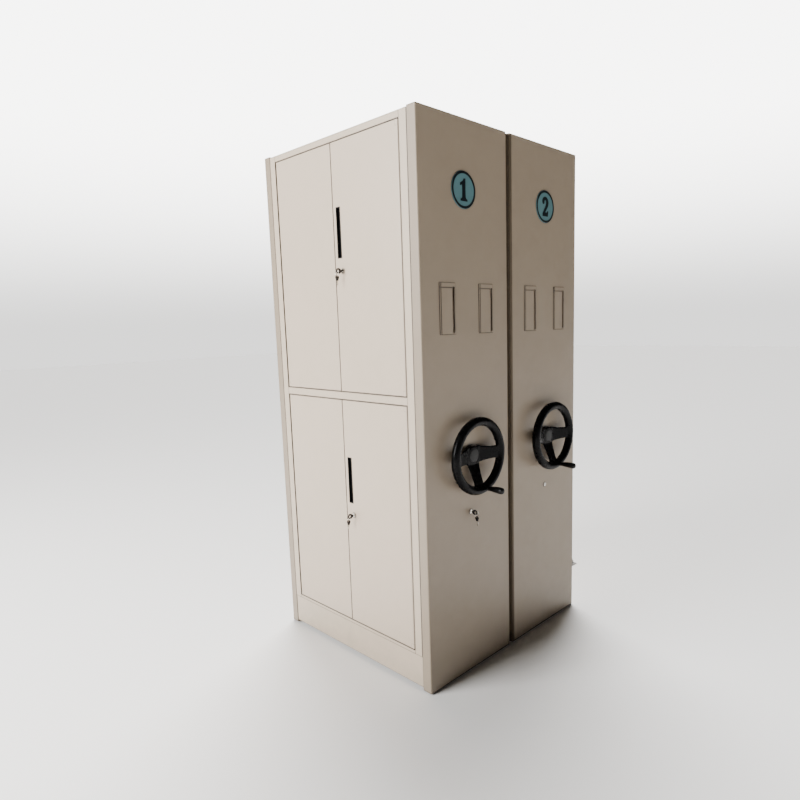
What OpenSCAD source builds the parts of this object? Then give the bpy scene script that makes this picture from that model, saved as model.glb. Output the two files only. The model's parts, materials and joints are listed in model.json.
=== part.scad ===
// Compact mobile shelving: two carriages on a floor track, each driven by a hand wheel.
// +Z is up, the hand wheels face -Y, and the carriages roll along X.
// The origin lies on the floor, midway between the closed carriages.

/* [Carriages] */
// Depth of one carriage along the track
carriage_depth = 541; // [521:1:560]
// Length of a carriage from the hand-wheel side to the far side
carriage_length = 1000; // [980:1:1060]
// Height of an end panel
panel_height = 2300; // [2280:1:2340]
// Gap between the closed carriages, filled by the edge seals
carriage_gap = 24; // [16:1:30]
// Thickness of an end panel
panel_t = 45; // [44:1:52]
// Thickness of the folded sheet
sheet_t = 1.5; // [1.2:0.1:2]
// Radius of an end panel's upright corners
corner_r = 6; // [4:1:10]
// Gap between an end panel and the floor
floor_gap = 6; // [5.5:0.5:8]
// How far the cabinet top lies below the end panels' top
top_drop = 5; // [3:1:10]

/* [Track] */
// Distance between the two rails
gauge = 400; // [370:1:430]
// Width of a rail's foot
foot_w = 60; // [50:1:66]
// Thickness of a rail's foot
foot_t = 4; // [3:0.5:5]
// Width of the bar that the wheels roll on
bar_w = 16; // [12:1:20]
// Height of the bar's top above the floor
rail_h = 16; // [14:0.5:17]
// Travel of the first carriage, outwards
travel_1 = 60; // [40:1:64]
// Travel of the second carriage, outwards
travel_2 = 560; // [400:1:600]
// Diameter of a floor anchor hole
anchor_d = 9; // [7:0.5:11]
// Number of floor anchors in a rail
anchors = 4; // [3:1:6]
// Distance from a rail's end to its nearest floor anchor
anchor_end = 57; // [45:1:80]
// Width of a gauge tie
tie_w = 40; // [30:1:60]
// Height of a stop block over the rail
stop_h = 13; // [9:1:13]
// Length of a stop block
stop_l = 14; // [10:1:20]

/* [Base] */
// Height of the base frame's top above the floor
base_top = 154; // [148:1:164]
// Gap between the base frame's beams and the floor
beam_gap = 31; // [31:1:36]
// Width of a long beam
beam_w = 40; // [34:1:42]
// Wall of the base frame's beams
beam_t = 3; // [2:0.5:4]
// Width of a cross member's flanges
cross_w = 34; // [28:1:40]
// Gap between a plinth and the floor
plinth_gap = 18; // [17.5:0.5:20]
// Thickness of a plinth, with its fold
plinth_t = 3; // [2:0.5:4]
// Set-back of a plinth from the carriage's face
plinth_set = 2; // [1:0.5:4]
// Distance from a carriage's face to its nearer axle
axle_inset = 110; // [106:1:120]
// Radius of a wheel's tread
tread_r = 50; // [48:0.5:50]
// Height of a wheel's flanges over its tread
flange_h = 5; // [4:0.5:5.5]
// Thickness of a wheel's flange
flange_t = 5; // [4:0.5:6]
// Radius of an axle
axle_r = 12.5; // [11:0.5:14]
// Outer radius of a bearing's flange
bearing_flange_r = 27; // [25:1:29]
// Length of a bearing
bearing_l = 14; // [12:1:18]

/* [Drive] */
// Height of the hand wheel's centre above the floor
wheel_z = 971; // [950:1:1000]
// Radius of the hand wheel's rim, to the middle of its tube
rim_r = 145; // [130:1:160]
// Radius of the rim's tube
rim_tube_r = 19; // [16:0.5:20]
// Distance of the rim's middle from the end panel
rim_out = 50; // [44:1:60]
// Radius of the hand wheel's hub
hub_r = 40; // [34:1:44]
// Half the width of a spoke at its narrowest
spoke_w = 27; // [22:1:30]
// Thickness of a spoke
spoke_t = 9; // [7:0.5:11]
// Angle of the crank grip round the rim, from +X
grip_angle = -77; // [-90:1:-60]
// Length of the crank grip
grip_l = 80; // [70:1:95]
// Radius of the crank grip at its thickest
grip_r = 14; // [12:0.5:16]
// Radius of the pin that the crank grip turns on
pin_r = 5; // [4:0.5:6]
// Radius of the hand wheel's shaft
shaft_r = 10; // [8:0.5:11]
// Pitch of the roller chain
chain_pitch = 15.875; // [15:0.025:16]
// Radius of a chain roller
roller_r = 5; // [4.5:0.1:5.1]
// Teeth on the hand wheel's sprocket
teeth_small = 9; // [9:1:10]
// Teeth on the axle's sprocket
teeth_large = 18; // [16:1:18]
// Thickness of a sprocket's toothed disc
sprocket_t = 8; // [7:0.5:8.5]
// Thickness of one chain plate
plate_t = 1.5; // [1.2:0.1:1.6]

/* [Cabinet] */
// Width of an upright in the carriage's depth
post_w = 40; // [34:1:46]
// Width of an upright in the carriage's length
post_d = 30; // [26:1:34]
// Set-back of the shelves from the door side
shelf_set = 34; // [32:1:40]
// Set-back of the shelves from the open side
open_set = 2; // [1:0.5:6]
// Depth of a shelf's folded edge
shelf_fold = 30; // [25:1:32]
// Distance from one slot of an upright to the next
slot_pitch = 50; // [50:1:50]
// Height of the lowest slot of an upright
slot_z0 = 190; // [186:1:194]
// Height of a slot of an upright
slot_h = 5; // [4:0.5:8]
// Width of a slot of an upright
slot_w = 14; // [10:1:18]
// Reach of a shelf clip under its shelf
clip_reach = 14; // [10:1:18]
// Thickness of a shelf clip
clip_t = 3; // [2:0.5:4]

/* [Doors] */
// Thickness of a door
door_t = 18; // [18:0.5:20]
// Clear gap between a door and what it shuts against
door_gap = 3; // [2:0.25:3.5]
// Width of an upright member of the door frame
stile_w = 42; // [38:1:46]
// Depth of the door frame's members
frame_d = 30; // [28:0.5:31]
// Width of the seam between the door frame and an end panel
seam_w = 2; // [1.5:0.25:3]
// Depth of that seam
seam_d = 8; // [5:0.5:12]
// Height of the head rail over the upper doors
head_h = 27; // [24:1:34]
// Height of the sill under the lower doors
sill_h = 15; // [12:1:18]
// Height of the middle rail's underside above the floor
mid_z = 1202; // [1198:1:1210]
// Height of the middle rail
mid_h = 33; // [31:1:40]
// Radius of a hinge pin
hinge_r = 4; // [3:0.5:5]
// Length of a hinge pin in the door
hinge_l = 14; // [10:1:18]
// Depth of a door's folded edge
door_fold = 24; // [20:1:28]
// Width of a recessed pull
pull_w = 27; // [24:1:30]
// Height of a recessed pull
pull_h = 208; // [180:1:240]
// Depth of a recessed pull
pull_d = 14; // [11:0.5:15]
// Distance from a pull's middle to the door's free edge
pull_inset = 32; // [30:1:38]
// Height of the upper pull's lower end above the floor
pull_z_upper = 1803; // [1780:1:1840]
// Height of the lower pull's lower end above the floor
pull_z_lower = 736; // [720:1:760]
// Distance from a pull's lower end down to its lock
pull_lock_drop = 54; // [45:1:70]
// Distance from the door's free edge to its lock
lock_inset = 47; // [44:1:50]

/* [Locks and signs] */
// Radius of a lock's plug
plug_r = 8; // [7:0.5:9]
// Height of the end panel's lock above the floor
lock_z = 723; // [700:1:740]
// Length of the end panel's lock inside the panel
lock_l = 18; // [16:0.5:20]
// Thickness of a lock's cam
cam_t = 2; // [1.5:0.25:2.5]
// Radius of a key's round bow
bow_r = 12; // [10:0.5:14]
// Thickness of a key's bow
bow_t = 5; // [4:0.5:6]
// Radius of the number disc
disc_r = 72; // [60:0.5:80]
// Distance from an end panel's top down to the number disc's centre
disc_drop = 270; // [230:1:300]
// Sideways place of the first number disc from its panel's middle
disc_shift = -12; // [-20:1:0]
// Thickness of the number disc
disc_t = 3; // [2:0.5:4]
// Width of a card pocket
pocket_w = 92; // [80:1:100]
// Height of a card pocket
pocket_h = 200; // [180:1:230]
// Height of the card pockets' lower edge above the floor
pocket_z = 1476; // [1440:1:1500]
// Distance of a card pocket's middle from the panel's middle
pocket_x = 120; // [110:1:135]

/* [Hidden] */
$fn = 64;
first = -1;
second = 1;

paint = "#cdc4b8";
bare_steel = "#9a9a98";
black = "#1b1b1d";
bright = "#c9c9cc";
iron = "#5f5f60";
rubber = "#3a302a";
teal = "#5a9296";

// Fits and clearances
roll_gap = 0.3;
run_fit = 0.05;
seal_gap = 0.15;
stop_slack = 1;
cut = 1;

// Heights above the floor
panel_top = floor_gap + panel_height;
cabinet_top = panel_top - top_drop;
disc_z = panel_top - disc_drop;
head_z = cabinet_top - head_h;
mid_top = mid_z + mid_h;
sill_top = base_top + sill_h;
axle_z = rail_h + roll_gap + tread_r;

// Places along the carriage's length
end_y = carriage_length / 2;
inner_y = end_y - panel_t;
post_y = inner_y - post_d;
stile_y = inner_y - stile_w;

// Places along the track: the first carriage's face, and wheels
face_x = -carriage_gap / 2 - carriage_depth;
panel_cx = carriage_gap / 2 + carriage_depth / 2;
far_axle = carriage_depth - axle_inset;
stop_reach = sqrt(tread_r * tread_r - (tread_r - stop_h) * (tread_r - stop_h));
stop_1_x = face_x + far_axle - travel_1 - stop_reach - stop_slack - stop_l;
stop_2_x = -face_x - axle_inset + travel_2 + stop_reach + stop_slack;
rail_end_margin = 10;
rail_set = 30;
rail_x0 = face_x + rail_set;
rail_x1 = stop_2_x + stop_l + rail_end_margin;

// Wheels: the tread runs on the bar with a small side clearance
tread_side_gap = 1;
tread_w = bar_w + 2 * tread_side_gap;
wheel_w = tread_w + 2 * flange_t;
wheel_hub_r = 24;
wheel_web_t = 10;
wheel_rim_t = 8;
cross_gap = 8;
web_y = wheel_w / 2 + cross_gap;
axle_stick = 4;
bearing_wall = 8;
axle_end = gauge / 2 + web_y + beam_t + bearing_l + axle_stick;

// Chain loop in the end panel
plate_play = 0.7;
plate_in = sprocket_t / 2 + plate_play;
plate_mid = plate_in + plate_t;
plate_out = plate_mid + plate_t;
rivet_h = 0.6;
head_out = plate_out + rivet_h;
chain_back_gap = 3;
chain_y = -inner_y - chain_back_gap - head_out;
plate_r = [6.2, 6.6];
plate_waist = [4.3, 4.7];
rivet_r = 2.4;
roller_play = 0.1;
tooth_h = 5.5;

// Radius of a sprocket's pitch circle
function pitch_r(teeth) = chain_pitch / (2 * sin(180 / teeth));

// The chain's centre line, in a frame with the axle's sprocket at the origin and the other along X
axle_to_wheel = [carriage_depth / 2 - axle_inset, wheel_z - axle_z];
chain_d = norm(axle_to_wheel);
chain_tilt = atan2(axle_to_wheel[1], axle_to_wheel[0]);
r_large = pitch_r(teeth_large);
r_small = pitch_r(teeth_small);
wrap = acos((r_large - r_small) / chain_d);
run_l = chain_d * sin(wrap);
arc_small = r_small * 2 * wrap * PI / 180;
arc_large = r_large * (360 - 2 * wrap) * PI / 180;
loop_l = 2 * run_l + arc_small + arc_large;
links = 2 * round(loop_l / (2 * chain_pitch));
link_l = loop_l / links;

// The point at a distance along the loop, from where the chain leaves the axle's sprocket
function loop_point(s) =
    s < run_l ? r_large * [cos(wrap), sin(wrap)] + s * [sin(wrap), -cos(wrap)]
    : s < run_l + arc_small ? [chain_d, 0] + r_small * direction(wrap - (s - run_l) / r_small * 180 / PI)
    : s < 2 * run_l + arc_small
        ? [chain_d, 0] + r_small * direction(-wrap) - (s - run_l - arc_small) * [sin(wrap), cos(wrap)]
    : r_large * direction(-wrap - (s - 2 * run_l - arc_small) / r_large * 180 / PI);
function direction(angle) = [cos(angle), sin(angle)];
function pin_point(k) = loop_point((k % links) * link_l);

// True where a roller lies clear of both sprockets' teeth as they turn
function clear_of_teeth(p) =
    norm(p) > r_large + tooth_h + roller_r + 0.5
    && norm(p - [chain_d, 0]) > r_small + tooth_h + roller_r + 0.5;

// Hand wheel, measured out of the end panel
wheel_gap = 3;
hub_top = 24;
shaft_top = 17;
rim_boss = 2;
grip_root = rim_out + rim_tube_r + rim_boss;
spoke_flare = 12;
spoke_neck = 0.7;
hub_lap = 6;
hub_step = 2;
dish_lip = 30;
grip_cap = 6;
grip_wall = 4;
grip_edge = 1.5;

// Panels and their pressings
turned_edge = 15;
pocket_raise = 2.5;
card_slot_w = 11;
card_slot_h = 168;
slot_edge = 5;
crease_edge = 6;
crease_drop = 20;
crease_w = 3;
crease_t = 2;
disc_edge = 0.6;
seal_set = 10;
seal_w = 18;
seal_foot = 2.5;

// Cabinet
post_wall = 2;
post_x0 = 32;
open_x = carriage_depth - open_set;
back_t = 20;
joint_groove = 0.8;
shelf_end_gap = 0.5;
shelf_slots = [6, 13, 27, 34];
clip_drop = 8;

// Doors
hinge_c = door_t / 2;
hinge_end = 1;
pull_flange = 1;
pull_play = 0.2;
pull_wall = 1.4;
pull_proud = 0.8;
cam_grip = 12;
panel_cam_l = 26;
lock_tube_r = plug_r + 3;
collar_out = 1.5;
plug_out = 1;
cam_gap = 1;

// Draws in a carriage's own place: X from its outer face inwards
module carriage(side) {
    mirror([side == second ? 1 : 0, 0, 0])
        translate([face_x, 0, 0])
            children();
}

// Draws as seen from the hand-wheel side: X to the right, Y up, Z out of the end panel
module on_panel(side, height) {
    translate([side * panel_cx, -end_y, height])
        rotate([90, 0, 0])
            children();
}

// A box given by its range along each axis
module block(x, y, z) {
    translate([x[0], y[0], z[0]])
        cube([x[1] - x[0], y[1] - y[0], z[1] - z[0]]);
}

// A rod along Y at a place in X and Z
module rod_y(x, z, y, r) {
    translate([x, y[1], z])
        rotate([90, 0, 0])
            cylinder(h = y[1] - y[0], r = r);
}

// A rod along X at a place in Y and Z
module rod_x(x, y, z, r) {
    translate([x[0], y, z])
        rotate([0, 90, 0])
            cylinder(h = x[1] - x[0], r = r);
}

// One rail: a bar on a flat foot, with a row of floor anchors in the foot's outer half
module rail() {
    anchor_y = (foot_w / 2 + bar_w / 2) / 2;
    anchor_pitch = (rail_x1 - rail_x0 - 2 * anchor_end) / (anchors - 1);
    translate([0, gauge / 2, 0])
        difference() {
            union() {
                block([rail_x0, rail_x1], [-foot_w / 2, foot_w / 2], [0, foot_t]);
                block([rail_x0, rail_x1], [-bar_w / 2, bar_w / 2], [0, rail_h]);
            }
            for (k = [0:anchors - 1])
                translate([rail_x0 + anchor_end + k * anchor_pitch, anchor_y, -cut])
                    cylinder(h = foot_t + 2 * cut, d = anchor_d);
        }
}

module front_rail() {
    color(bare_steel) mirror([0, 1, 0]) rail();
}

module rear_rail() {
    color(bare_steel) rail();
}

// Flat bars that hold the rails at their gauge
module track_ties() {
    tie_y = gauge / 2 - foot_w / 2;
    color(bare_steel)
        for (x = [rail_x0 + tie_w, 0, rail_x1 - tie_w])
            block([x - tie_w / 2, x + tie_w / 2], [-tie_y, tie_y], [0, foot_t]);
}

// Blocks on the rails that a wheel's tread meets at the end of its travel
module rail_stops() {
    color(bare_steel)
        for (y = [-gauge / 2, gauge / 2], x = [stop_1_x, stop_2_x])
            block([x, x + stop_l], [y - bar_w / 2, y + bar_w / 2], [rail_h, rail_h + stop_h]);
}

// Two hollow long beams and four cross members, one on each side of each wheel line
module base_frame(side) {
    beam_x0 = plinth_set + plinth_t;
    beam_x1 = carriage_depth - beam_x0;
    color(bare_steel)
        carriage(side) {
            for (x = [beam_x0, beam_x1 - beam_w])
                difference() {
                    block([x, x + beam_w], [-inner_y, inner_y], [beam_gap, base_top]);
                    block([x + beam_t, x + beam_w - beam_t], [-inner_y - cut, inner_y + cut],
                          [beam_gap + beam_t, base_top - beam_t]);
                }
            for (rail_side = [-1, 1], wheel_side = [-1, 1])
                translate([0, rail_side * gauge / 2, 0])
                    mirror([0, wheel_side < 0 ? 1 : 0, 0])
                        cross_member([beam_x0 + beam_w, beam_x1 - beam_w]);
        }
}

// A channel across the base frame: its web stands beside the wheels and takes their bearings
module cross_member(span) {
    shaft_hole_r = axle_r + 3;
    difference() {
        block(span, [web_y, web_y + cross_w], [beam_gap, base_top]);
        block([span[0] - cut, span[1] + cut], [web_y + beam_t, web_y + cross_w + cut],
              [beam_gap + beam_t, base_top - beam_t]);
        for (x = [axle_inset, far_axle])
            rod_y(x, axle_z, [web_y - cut, web_y + beam_t + cut], shaft_hole_r);
    }
}

// A flanged bearing with its flange at Z = 0 and its nose along Z
module bearing(bore_r, length) {
    foot_h = 5;
    nose_r = bore_r + bearing_wall;
    rotate_extrude()
        polygon([
            [bore_r + run_fit, 0], [bearing_flange_r, 0], [bearing_flange_r, foot_h - 1],
            [bearing_flange_r - 1, foot_h], [nose_r + 1, foot_h], [nose_r, foot_h + 1],
            [nose_r - 1, length], [bore_r + run_fit, length]
        ]);
}

// Bearings of both axles on the cross members, and of the hand wheel's shaft behind the end panel
module bearings(side) {
    color(iron) {
        carriage(side)
            for (x = [axle_inset, far_axle], rail_side = [-1, 1], wheel_side = [-1, 1])
                translate([x, rail_side * gauge / 2 + wheel_side * (web_y + beam_t), axle_z])
                    rotate([-90 * wheel_side, 0, 0])
                        bearing(axle_r, bearing_l);
        on_panel(side, wheel_z)
            translate([0, 0, -sheet_t])
                mirror([0, 0, 1])
                    bearing(shaft_r, bearing_l);
    }
}

module drive_axle(side) {
    color(bare_steel)
        carriage(side)
            rod_y(axle_inset, axle_z, [chain_y - sprocket_t / 2, axle_end], axle_r);
}

module idle_axle(side) {
    color(bare_steel)
        carriage(side)
            rod_y(far_axle, axle_z, [-axle_end, axle_end], axle_r);
}

// One wheel with two flanges that hold it on the bar, its middle at Z = 0
module wheel() {
    flange_r = tread_r + flange_h;
    rim_in = tread_r - wheel_rim_t;
    rotate_extrude($fn = 96)
        polygon([
            [axle_r, -wheel_w / 2], [wheel_hub_r, -wheel_w / 2], [wheel_hub_r, -wheel_web_t / 2],
            [rim_in, -wheel_web_t / 2], [rim_in, -wheel_w / 2], [flange_r, -wheel_w / 2],
            [flange_r, -tread_w / 2 - 1], [tread_r + 1, -tread_w / 2], [tread_r, -tread_w / 2],
            [tread_r, tread_w / 2], [tread_r + 1, tread_w / 2], [flange_r, tread_w / 2 + 1],
            [flange_r, wheel_w / 2], [rim_in, wheel_w / 2], [rim_in, wheel_web_t / 2],
            [wheel_hub_r, wheel_web_t / 2], [wheel_hub_r, wheel_w / 2], [axle_r, wheel_w / 2]
        ]);
}

// The two wheels of one axle
module wheels(side, x) {
    color(iron)
        carriage(side)
            for (y = [-gauge / 2, gauge / 2])
                translate([x, y, axle_z])
                    rotate([90, 0, 0])
                        wheel();
}

// A toothed disc with roller seats on its pitch circle
module sprocket(teeth, bore_r) {
    r = pitch_r(teeth);
    difference() {
        linear_extrude(sprocket_t, center = true)
            difference() {
                circle(r + tooth_h, $fn = 96);
                for (k = [0:teeth - 1])
                    rotate(k * 360 / teeth)
                        translate([r, 0])
                            circle(roller_r + roller_play, $fn = 32);
            }
        cylinder(h = sprocket_t + 2 * cut, r = bore_r, center = true);
    }
}

module axle_sprocket(side) {
    color(bare_steel)
        carriage(side)
            translate([axle_inset, chain_y, axle_z])
                rotate([90, 0, 0])
                    sprocket(teeth_large, axle_r);
}

// The hand wheel's shaft with its small sprocket
module hand_shaft(side) {
    color(bare_steel) {
        on_panel(side, wheel_z)
            translate([0, 0, -end_y - chain_y - sprocket_t / 2])
                cylinder(h = end_y + chain_y + sprocket_t / 2 + shaft_top, r = shaft_r);
        on_panel(side, wheel_z)
            translate([0, 0, -end_y - chain_y])
                sprocket(teeth_small, shaft_r - 1);
    }
}

// One chain plate seen flat, from its first pin along X: an inner plate is 0 and an outer plate 1
module plate_outline(kind, length) {
    for (x = [0, length])
        translate([x, 0])
            circle(plate_r[kind], $fn = 24);
    translate([0, -plate_waist[kind]])
        square([length, 2 * plate_waist[kind]]);
}

// Every second plate of the loop, all inner ones or all outer ones
module plate_row(kind) {
    for (k = [kind:2:links - 1]) {
        a = pin_point(k);
        b = pin_point(k + 1);
        translate(a)
            rotate(atan2(b[1] - a[1], b[0] - a[0]))
                plate_outline(kind, norm(b - a));
    }
}

// The roller chain. Its rollers are drawn on the straight runs, where no tooth passes
module chain(side) {
    color(iron)
        on_panel(side, wheel_z)
            mirror([side == second ? 1 : 0, 0, 0])
                translate([-axle_to_wheel[0], -axle_to_wheel[1], -end_y - chain_y])
                    rotate(chain_tilt) {
                        for (face = [0, 1])
                            mirror([0, 0, face]) {
                                translate([0, 0, plate_in])
                                    linear_extrude(plate_t)
                                        plate_row(0);
                                translate([0, 0, plate_mid])
                                    linear_extrude(plate_t)
                                        plate_row(1);
                                for (k = [0:links - 1])
                                    translate(concat(pin_point(k), plate_in + plate_t / 2))
                                        cylinder(h = head_out - plate_in - plate_t / 2, r = rivet_r, $fn = 16);
                            }
                        for (k = [0:links - 1])
                            if (clear_of_teeth(pin_point(k)))
                                translate(concat(pin_point(k), -plate_in - plate_t / 2))
                                    cylinder(h = 2 * plate_in + plate_t, r = roller_r, $fn = 24);
                    }
}

// The T of three arms seen from the front, each widest at the hub and narrowest near the rim
module arm_outline() {
    root = hub_r * 0.6;
    reach = rim_r + 2;
    neck = root + (reach - root) * spoke_neck;
    steps = 8;
    half = [for (k = [0:steps])
        let (r = root + (reach - root) * k / steps, f = (r - neck) / (neck - root))
        [r, spoke_w + spoke_flare * f * f]];
    polygon(concat(half, [for (k = [steps:-1:0]) [half[k][0], -half[k][1]]]));
}

// The hand wheel: a round rim, three dished arms and a capped hub, with the crank grip's pin
module hand_wheel(side) {
    arm_z = hub_top - spoke_t;
    color(black)
        on_panel(side, wheel_z) {
            rotate_extrude($fn = 128)
                translate([rim_r, rim_out])
                    circle(rim_tube_r, $fn = 48);
            difference() {
                rotate_extrude()
                    polygon(concat(
                        [[0, wheel_gap], [hub_r - 6, wheel_gap], [hub_r, wheel_gap + 6], [hub_r, hub_top - 5]],
                        [for (a = [0:15:90]) [hub_r - 5 + 5 * cos(a), hub_top - 5 + 5 * sin(a)]],
                        [[0, hub_top]]));
                translate([0, 0, wheel_gap - cut])
                    cylinder(h = shaft_top - wheel_gap + cut, r = shaft_r);
            }
            intersection() {
                rotate_extrude($fn = 128)
                    polygon([
                        [hub_r - hub_lap, arm_z - hub_step], [rim_r - dish_lip, rim_out - spoke_t * 0.9],
                        [rim_r, rim_out - spoke_t / 2], [rim_r, rim_out + spoke_t / 2],
                        [rim_r - dish_lip, rim_out + spoke_t * 0.1], [hub_r - hub_lap, hub_top - hub_step]
                    ]);
                linear_extrude(rim_out + rim_tube_r)
                    for (a = [0, 180, 270])
                        rotate(a)
                            arm_outline();
            }
            translate(grip_place()) {
                translate([0, 0, rim_out])
                    cylinder(h = rim_tube_r + rim_boss - roll_gap, r = pin_r + grip_wall);
                translate([0, 0, rim_out])
                    cylinder(h = rim_tube_r + rim_boss + grip_l - grip_cap, r = pin_r);
            }
        }
}

// Where the crank grip stands on the rim
function grip_place() = [rim_r * cos(grip_angle), rim_r * sin(grip_angle), 0];

// The crank grip: a barrel on the rim's pin, thinner at its root and domed at its tip
module crank_grip(side) {
    bore = pin_r + run_fit;
    tip = grip_r * 0.8;
    root_r = pin_r + grip_wall;
    swell = grip_r - root_r;
    steps = 6;
    rise = (grip_l - tip - grip_edge) / (steps + 0.5);
    color(black)
        on_panel(side, wheel_z)
            translate(grip_place() + [0, 0, grip_root])
                rotate_extrude()
                    polygon(concat(
                        [[bore, 0], [root_r - 1, 0]],
                        [for (k = [0:steps]) [root_r + swell * sin(k * 90 / steps), grip_edge + rise * k]],
                        [for (a = [0:15:75]) [tip * cos(a) + grip_r - tip, grip_l - tip + tip * sin(a)]],
                        [[0, grip_l], [0, grip_l - grip_cap + 1], [bore, grip_l - grip_cap + 1]]));
}

// A panel's outline seen from above: Y = 0 at its face, which has round corners
module pan_outline(w, t, r) {
    translate([-w / 2, r])
        square([w, t - r]);
    translate([-w / 2 + r, 0])
        square([w - 2 * r, r + 1]);
    for (x = [-w / 2 + r, w / 2 - r])
        translate([x, r])
            circle(r);
}

// A folded sheet panel, open behind, with its edges turned in
module end_pan() {
    translate([0, -end_y, floor_gap])
        difference() {
            linear_extrude(panel_height)
                pan_outline(carriage_depth, panel_t, corner_r);
            translate([0, sheet_t, sheet_t])
                linear_extrude(panel_height - 2 * sheet_t)
                    pan_outline(carriage_depth - 2 * sheet_t, panel_t - 2 * sheet_t, corner_r - sheet_t);
            block([-carriage_depth / 2 + turned_edge, carriage_depth / 2 - turned_edge],
                  [panel_t - sheet_t - cut, panel_t + cut], [turned_edge, panel_height - turned_edge]);
        }
}

// A raised card pocket, and the slot at its right through which a card goes in
module card_pocket() {
    translate([-pocket_w / 2, 0, -sheet_t / 2])
        cube([pocket_w, pocket_h, sheet_t / 2 + pocket_raise]);
}

module card_slot() {
    x = pocket_w / 2 - slot_edge - card_slot_w / 2;
    translate([0, 0, -sheet_t - cut])
        linear_extrude(sheet_t + pocket_raise + 2 * cut) {
            translate([x - card_slot_w / 2, slot_edge + card_slot_w / 2])
                square([card_slot_w, card_slot_h]);
            for (y = [0, card_slot_h])
                translate([x, slot_edge + card_slot_w / 2 + y])
                    circle(card_slot_w / 2, $fn = 32);
        }
    for (crease = [[[-pocket_w / 2 + crease_edge, crease_w], [0, pocket_h]],
                   [[-pocket_w / 2, pocket_w], [pocket_h - crease_drop, crease_w]]])
        translate([crease[0][0], crease[1][0], pocket_raise - crease_t])
            cube([crease[0][1], crease[1][1], crease_t + cut]);
}

// The end panel on the hand-wheel side, with its card pockets and the lock's barrel
module front_panel(side) {
    color(paint)
        difference() {
            union() {
                translate([side * panel_cx, 0, 0])
                    end_pan();
                for (x = [-pocket_x, pocket_x])
                    on_panel(side, pocket_z)
                        translate([x, 0, 0])
                            card_pocket();
                on_panel(side, lock_z)
                    lock_barrel(lock_l);
            }
            for (x = [-pocket_x, pocket_x])
                on_panel(side, pocket_z)
                    translate([x, 0, 0])
                        card_slot();
            on_panel(side, lock_z)
                lock_bore(lock_l);
            on_panel(side, wheel_z)
                translate([0, 0, -sheet_t - cut])
                    cylinder(h = sheet_t + 2 * cut, r = shaft_r + 2);
        }
}

module rear_panel(side) {
    color(paint)
        translate([side * panel_cx, 0, 0])
            mirror([0, 1, 0])
                end_pan();
}

// A lock's barrel, out of its sheet by its collar and in by its depth
module lock_barrel(depth) {
    translate([0, 0, -depth])
        cylinder(h = depth + collar_out, r = lock_tube_r);
}

module lock_bore(depth) {
    translate([0, 0, -depth - cut])
        cylinder(h = depth + collar_out + 2 * cut, r = plug_r + run_fit);
}

// A lock's plug with its cam hanging down behind the barrel
module lock_plug(depth, cam_l) {
    cam_w = plug_r * 1.4;
    translate([0, 0, -depth - cam_gap])
        cylinder(h = depth + cam_gap + collar_out + plug_out, r = plug_r);
    translate([-cam_w / 2, -cam_l, -depth - cam_gap - cam_t])
        cube([cam_w, cam_l + cam_w / 2, cam_t]);
}

// A key standing in a plug: a flat blade and a round bow with a hole
module key() {
    blade_w = 7;
    blade_l = 9;
    translate([-1, -blade_w / 2, collar_out + plug_out])
        cube([2, blade_w, blade_l + 3]);
    translate([-bow_t / 2, 0, collar_out + plug_out + blade_l + bow_r])
        rotate([0, 90, 0])
            difference() {
                cylinder(h = bow_t, r = bow_r);
                translate([-bow_r * 0.35, 0, -cut])
                    cylinder(h = bow_t + 2 * cut, r = bow_r * 0.28);
            }
}

module panel_lock(side) {
    color(bright)
        on_panel(side, lock_z)
            lock_plug(lock_l, panel_cam_l);
}

module panel_key_1() {
    color(black)
        on_panel(first, lock_z)
            key();
}

module number_disc(side) {
    color(teal)
        on_panel(side, disc_z)
            translate([side == first ? disc_shift : 0, 0, 0])
                rotate_extrude($fn = 128)
                    polygon([
                        [0, 0], [disc_r, 0], [disc_r, disc_t - disc_edge], [disc_r - disc_edge, disc_t], [0, disc_t]
                    ]);
}

// Rubber strips on the end panels' inner edges, which meet when the carriages close
module edge_seals(side) {
    reach = carriage_gap / 2 - seal_gap;
    bulb_r = (reach - seal_foot) / 2 + 0.5;
    color(rubber)
        carriage(side)
            for (end = [0, 1])
                mirror([0, end, 0])
                    translate([carriage_depth, -end_y + seal_set, floor_gap])
                        linear_extrude(panel_height) {
                            square([seal_foot, seal_w]);
                            translate([0, seal_w / 2 - bulb_r * 0.7])
                                square([reach - bulb_r, bulb_r * 1.4]);
                            translate([reach - bulb_r, seal_w / 2])
                                circle(bulb_r, $fn = 32);
                        }
}

// An upright: a slotted web towards the shelves and two flanges towards the end panel
module post() {
    slots = floor((head_z - slot_z0 - slot_h) / slot_pitch);
    difference() {
        block([0, post_w], [post_y, inner_y], [base_top, head_z]);
        block([post_wall, post_w - post_wall], [post_y + post_wall, inner_y + cut],
              [base_top - cut, head_z + cut]);
        for (k = [0:slots])
            block([post_w / 2 - slot_w / 2, post_w / 2 + slot_w / 2], [post_y - cut, post_y + post_wall + cut],
                  [slot_z0 + k * slot_pitch, slot_z0 + k * slot_pitch + slot_h]);
    }
}

// Two slotted uprights at each end, with a side sheet between them
module side_frames(side) {
    post_x = [post_x0, open_x - post_w];
    color(paint)
        carriage(side)
            for (end = [0, 1])
                mirror([0, end, 0]) {
                    for (x = post_x)
                        translate([x, 0, 0])
                            post();
                    block([post_x[0] + post_w, post_x[1]], [inner_y - sheet_t, inner_y], [base_top, head_z]);
                }
}

// A shelf: a sheet with its four edges folded down, given by its underside and its fold
module shelf(z, fold, end_gap) {
    y = post_y - end_gap;
    difference() {
        block([shelf_set, open_x], [-y, y], [z, z + fold]);
        block([shelf_set + sheet_t, open_x - sheet_t], [-y + sheet_t, y - sheet_t], [z - cut, z + fold - sheet_t]);
    }
}

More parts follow.
